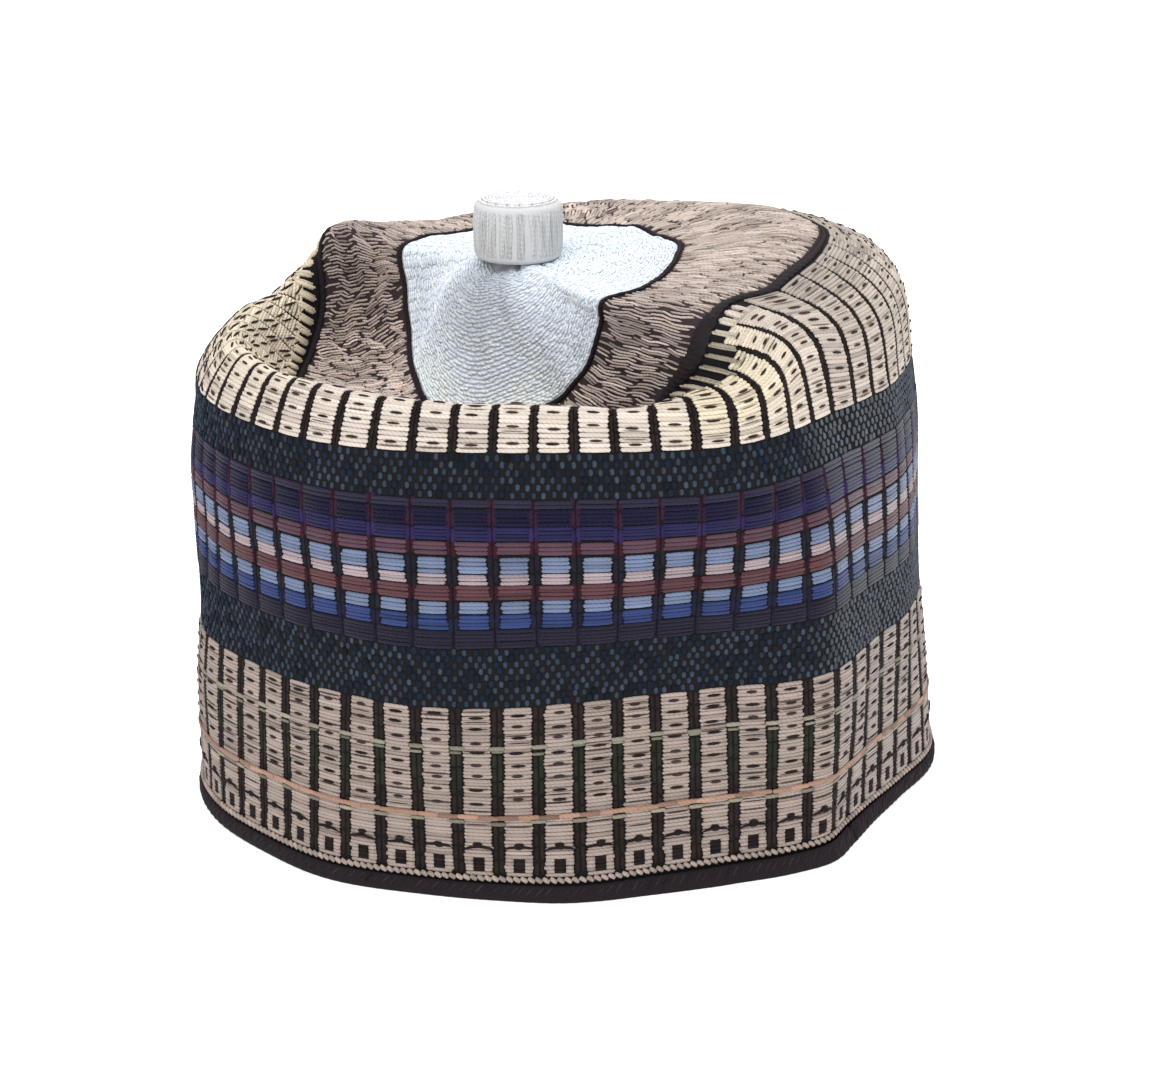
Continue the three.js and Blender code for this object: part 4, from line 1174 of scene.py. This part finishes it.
COIL_RINGS, COIL_STEP, COIL_PITCH, COIL_LIFT, DROP_FROM = 11, 0.9, 3.2, 0.22, 8.6
rings = []
for radius in 0.7 + COIL_STEP * np.arange(COIL_RINGS):
    count = max(3, round(2 * math.pi * radius / COIL_PITCH))
    start = (np.arange(count) + chance.random()) / count
    angle = 2 * math.pi * (start[:, None] + 1.02 * WAVY[0] / count)
    height = TOP + COIL_LIFT - 0.35 * max(0, radius - DROP_FROM) + 0 * angle
    rings.append(np.stack([radius * np.cos(angle), radius * np.sin(angle), height], axis=-1))
path = np.concatenate(rings)
upward = np.broadcast_to([0.0, 0, 1], path.shape)
aside = unit(np.cross(upward, np.gradient(path, axis=1)))
coil_dye = dyed(srgb(228, 229, 232), len(path), 0.04)
button_coil = rolled_strips(
    "button_top_coil", path + button_middle, aside, upward, WAVY[1], 0.5, 0.3, coil_dye, sides=6
)
print("button wraps:", WRAPS, "stitches on top:", len(path))

# %% [markdown]
# Thread is a bundle of twisted fibres. One node group gives it: slanting ribs along the thread from its
# UV map, a fine fuzz, and patches where the dye has faded a little. Every sewn piece uses this group with
# its own values, and reads its colour from the stitches' colour attribute, which on some pieces also
# holds painted shade.

# %% Node groups
def new_group(name, inputs, outputs):
    group = bpy.data.node_groups.new(name, "ShaderNodeTree")
    for socket, kind, value in inputs:
        made = group.interface.new_socket(socket, in_out="INPUT", socket_type=kind)
        if value is not None:
            made.default_value = value
    for socket, kind in outputs:
        group.interface.new_socket(socket, in_out="OUTPUT", socket_type=kind)
    return group, group.nodes.new("NodeGroupInput"), group.nodes.new("NodeGroupOutput")


def add(tree, kind, links=(), **settings):
    """A node with settings by name, number keys in the links being its input sockets."""
    node = tree.nodes.new(kind)
    for key, value in settings.items():
        setattr(node, key, value)
    for socket, source in links:
        if isinstance(source, bpy.types.NodeSocket):
            tree.links.new(source, node.inputs[socket])
        else:
            node.inputs[socket].default_value = source
    return node


def math_node(tree, operation, first, second=0.0):
    return add(tree, "ShaderNodeMath", [(0, first), (1, second)], operation=operation).outputs[0]


def mix_colours(tree, share, first, second, blend="MIX"):
    links = [(0, share), (6, first), (7, second)]
    return add(tree, "ShaderNodeMix", links, data_type="RGBA", blend_type=blend).outputs[2]


def noise(tree, spot, scale, detail):
    links = [("Vector", spot.outputs["Object"]), ("Scale", scale), ("Detail", detail)]
    return add(tree, "ShaderNodeTexNoise", links).outputs["Fac"]


COLOUR, FLOAT, WHITE_INPUT = "NodeSocketColor", "NodeSocketFloat", (1, 1, 1, 1)
OUTPUTS = [("Colour", COLOUR), ("Height", FLOAT)]
THREAD_INPUTS = [("Thread Colour", COLOUR, WHITE_INPUT), ("Twist", FLOAT, 3.0), ("Fading", FLOAT, 0.2)]
thread_group, come, go = new_group("twisted thread", THREAD_INPUTS, OUTPUTS)
spot = add(thread_group, "ShaderNodeTexCoord")
split = add(thread_group, "ShaderNodeSeparateXYZ", [(0, spot.outputs["UV"])])
slanted = math_node(thread_group, "ADD", split.outputs[0], split.outputs[1])
ribs = math_node(thread_group, "SINE", math_node(thread_group, "MULTIPLY", slanted, come.outputs["Twist"]))
fuzz, patches = noise(thread_group, spot, 1500.0, 2.0), noise(thread_group, spot, 60.0, 3.0)
height = math_node(thread_group, "ADD", math_node(thread_group, "MULTIPLY", ribs, 0.35), fuzz)
darker = mix_colours(thread_group, 1.0, come.outputs["Thread Colour"], (0.62, 0.6, 0.57, 1), "MULTIPLY")
patch_share = math_node(thread_group, "MULTIPLY", patches, come.outputs["Fading"])
rib_share = math_node(thread_group, "MULTIPLY", math_node(thread_group, "ADD", ribs, 1.0), 0.14)
shade_share = math_node(thread_group, "ADD", patch_share, rib_share)
shaded = mix_colours(thread_group, shade_share, come.outputs["Thread Colour"], darker)
thread_group.links.new(shaded, go.inputs["Colour"])
thread_group.links.new(height, go.inputs["Height"])

WEAVE_INPUTS = [("Warp", COLOUR, WHITE_INPUT), ("Weft", COLOUR, WHITE_INPUT), ("Threads", FLOAT, 9.0)]
weave_group, come, go = new_group("plain weave", WEAVE_INPUTS, OUTPUTS)
spot = add(weave_group, "ShaderNodeTexCoord")
split = add(weave_group, "ShaderNodeSeparateXYZ", [(0, spot.outputs["UV"])])
scaled = [math_node(weave_group, "MULTIPLY", split.outputs[k], come.outputs["Threads"]) for k in (0, 1)]
across, along = [math_node(weave_group, "SINE", value) for value in scaled]
over = math_node(weave_group, "MULTIPLY", math_node(weave_group, "MULTIPLY", across, along), 0.5)
woven = math_node(weave_group, "ADD", over, noise(weave_group, spot, 1100.0, 3.0))
picked = math_node(weave_group, "ADD", over, 0.5)
shaded = mix_colours(weave_group, picked, come.outputs["Warp"], come.outputs["Weft"])
weave_group.links.new(shaded, go.inputs["Colour"])
weave_group.links.new(woven, go.inputs["Height"])
print("groups:", [group.name for group in bpy.data.node_groups])

# %% [markdown]
# Cotton thread has a soft sheen and dark thread has none. A thread's colour, painted shade included where
# there is some, comes from the attribute that the stitches carry, or is one colour for a cord. The cloths
# under the threads are plain weave. Each piece is then given its material and, for seven of them, the
# solid that it replaces.

# %% Materials of thread and cloth
def start_material(name, roughness, sheen, bump):
    material = bpy.data.materials.new(name)
    material.use_nodes = True
    tree = material.node_tree
    shader = tree.nodes["Principled BSDF"]
    shader.inputs["Roughness"].default_value = roughness
    shader.inputs["Sheen Weight"].default_value = sheen
    shader.inputs["Specular IOR Level"].default_value = 0.16
    relief = add(tree, "ShaderNodeBump", [("Strength", bump), ("Distance", 0.0002)])
    tree.links.new(relief.outputs[0], shader.inputs["Normal"])
    return material, tree, shader, relief


def use_group(tree, group, shader, relief, values):
    node = add(tree, "ShaderNodeGroup", values, node_tree=group)
    tree.links.new(node.outputs["Colour"], shader.inputs["Base Color"])
    tree.links.new(node.outputs["Height"], relief.inputs["Height"])


def thread_material(name, twist=5.0, fading=0.25, roughness=0.75, sheen=0.06, bump=0.6, thread_colour=None):
    material, tree, shader, relief = start_material(name, roughness, sheen, bump)
    if thread_colour is None:
        thread_colour = add(tree, "ShaderNodeAttribute", attribute_name="thread_colour").outputs["Color"]
    else:
        thread_colour = (*thread_colour, 1)
    use_group(tree, thread_group, shader, relief, [("Thread Colour", thread_colour), ("Twist", twist), ("Fading", fading)])
    return material


def cloth_material(name, warp, weft, threads=9.0, bump=0.5):
    material, tree, shader, relief = start_material(name, 0.9, 0.0, bump)
    values = [("Warp", (*warp, 1)), ("Weft", (*weft, 1)), ("Threads", threads)]
    use_group(tree, weave_group, shader, relief, values)
    return material


cotton_thread = thread_material("cotton thread")
dark_thread = thread_material("dark thread", fading=0.15, roughness=0.85, sheen=0.0)
white_thread = thread_material("white thread", fading=0.12, roughness=0.6, sheen=0.2)
wall_ground = cloth_material("dark wall cloth", srgb(18, 17, 21), srgb(28, 27, 29))
crown_ground = cloth_material("dark crown cloth", srgb(46, 36, 40), srgb(64, 52, 54))
white_ground = cloth_material("white medallion cloth", srgb(222, 229, 238), srgb(230, 235, 241))
core_white = cloth_material("white button core", srgb(196, 198, 200), srgb(210, 211, 212))
tape_cloth = cloth_material("dark hem tape", srgb(25, 20, 24), srgb(40, 33, 38), threads=7.0, bump=0.9)
cord_look = {"twist": 4.0, "thread_colour": srgb(34, 28, 32), "roughness": 0.8, "sheen": 0.0, "bump": 0.9}
cord_thread = thread_material("black cord thread", **cord_look)

CREAM_SEWN = (lower, stripes, shoulder, teeth, tan_line, beads, *bridges)
DARK_SEWN = (
    lower_bars, stripe_bars, shoulder_bars, lower_dashes, short_dashes, lower_groove_shade,
    shoulder_dashes, shoulder_groove_shade, *hem_marks,
)
DRESS = [
    (wall, wall_ground, "wall_cloth", ["side_wall"]),
    (crown, crown_ground, "crown_cloth", ["crown_panel"]),
    (medallion, white_ground, "medallion_cloth", ["centre_medallion"]),
    (seam_cord, cord_thread, "dark_cord", ["crown_seam_cord"]),
    (edge_cord, cord_thread, "dark_cord", ["medallion_cord"]),
    (binding, tape_cloth, "dark_binding", ["hem_binding"]),
    (button_core, core_white, "button_thread", ["top_button"]),
    (button_wraps, white_thread, "button_thread", []),
    (button_coil, white_thread, "button_thread", []),
    (tape_stitches, dark_thread, "dark_binding", []),
    (white_threads, white_thread, "medallion_cloth", []),
    (crown_threads, cotton_thread, "crown_cloth", []),
    (seeds, dark_thread, "wall_cloth", []),
    *[(piece, cotton_thread, "wall_cloth", []) for piece in CREAM_SEWN],
    *[(piece, dark_thread, "wall_cloth", []) for piece in DARK_SEWN],
]
for piece, material, slot, nodes in DRESS:
    piece.data.materials.append(material)
    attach(piece, "root")
    if nodes:
        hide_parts(*nodes)
print("pieces:", len(DRESS), "faces:", sum(len(piece.data.polygons) for piece, *rest in DRESS))

# %% [markdown]
# The cap stands on a plain pale floor. A wide soft light hangs above it, a little behind and to the
# right, so the crown is bright, and a second soft light in front and the pale surroundings fill the
# shade on the wall. The camera looks down on the cap at the angle of the photograph.

# %% Floor, lights and camera
FLOOR_WHITE, FLOOR_GLOW, SURROUND, TOP_POWER, FRONT_POWER = 0.93, 0.45, 0.75, 13, 16.5
AIM = (0, 0, 0.08)
ground = bmesh.new()
bmesh.ops.create_grid(ground, x_segments=1, y_segments=1, size=5)
floor = finish_mesh("floor", ground)
floor_material = bpy.data.materials.new("pale floor")
floor_material.use_nodes = True
floor_shader = floor_material.node_tree.nodes["Principled BSDF"]
FLOOR_LOOK = {
    "Base Color": (FLOOR_WHITE, FLOOR_WHITE, FLOOR_WHITE, 1),
    "Roughness": 0.9,
    "Specular IOR Level": 0.0,
    "Emission Color": (1, 1, 1, 1),
    "Emission Strength": FLOOR_GLOW,
}
for socket, value in FLOOR_LOOK.items():
    floor_shader.inputs[socket].default_value = value
floor.data.materials.append(floor_material)

world = bpy.data.worlds.new("studio")
world.use_nodes = True
world.node_tree.nodes["Background"].inputs["Color"].default_value = (1, 1, 1, 1)
world.node_tree.nodes["Background"].inputs["Strength"].default_value = SURROUND
bpy.context.scene.world = world


def area_light(name, place, size, power):
    data = bpy.data.lights.new(name, "AREA")
    data.shape, data.size, data.energy = "DISK", size, power
    light = bpy.data.objects.new(name, data)
    light.location = place
    light.rotation_euler = (Vector(AIM) - Vector(place)).to_track_quat("-Z", "Y").to_euler()
    bpy.context.scene.collection.objects.link(light)


area_light("soft top light", (0.45, 0.6, 1.45), 1.2, TOP_POWER)
area_light("front fill", (-0.25, -1.1, 1.45), 1.3, FRONT_POWER)

CAMERA_PLACE, PITCH, ROLL = (4.866, -760.603, 311.51), 18, 0.52
FOCAL_PIXELS, PHOTO_WIDTH = 2987, 1170
camera_data = bpy.data.cameras.new("camera")
camera_data.sensor_width = 36
camera_data.lens = FOCAL_PIXELS * camera_data.sensor_width / PHOTO_WIDTH
camera_data.clip_start = 0.01
camera = bpy.data.objects.new("camera", camera_data)
camera.location = Vector(CAMERA_PLACE) * MM
bpy.context.scene.collection.objects.link(camera)
level = Euler((math.radians(90 - PITCH), 0, 0)).to_matrix()
camera.rotation_euler = (level @ Matrix.Rotation(-math.radians(ROLL), 3, "Z")).to_euler()
bpy.context.scene.camera = camera
bpy.context.scene.view_settings.view_transform = "Standard"
print("lens in mm:", round(camera_data.lens, 2))
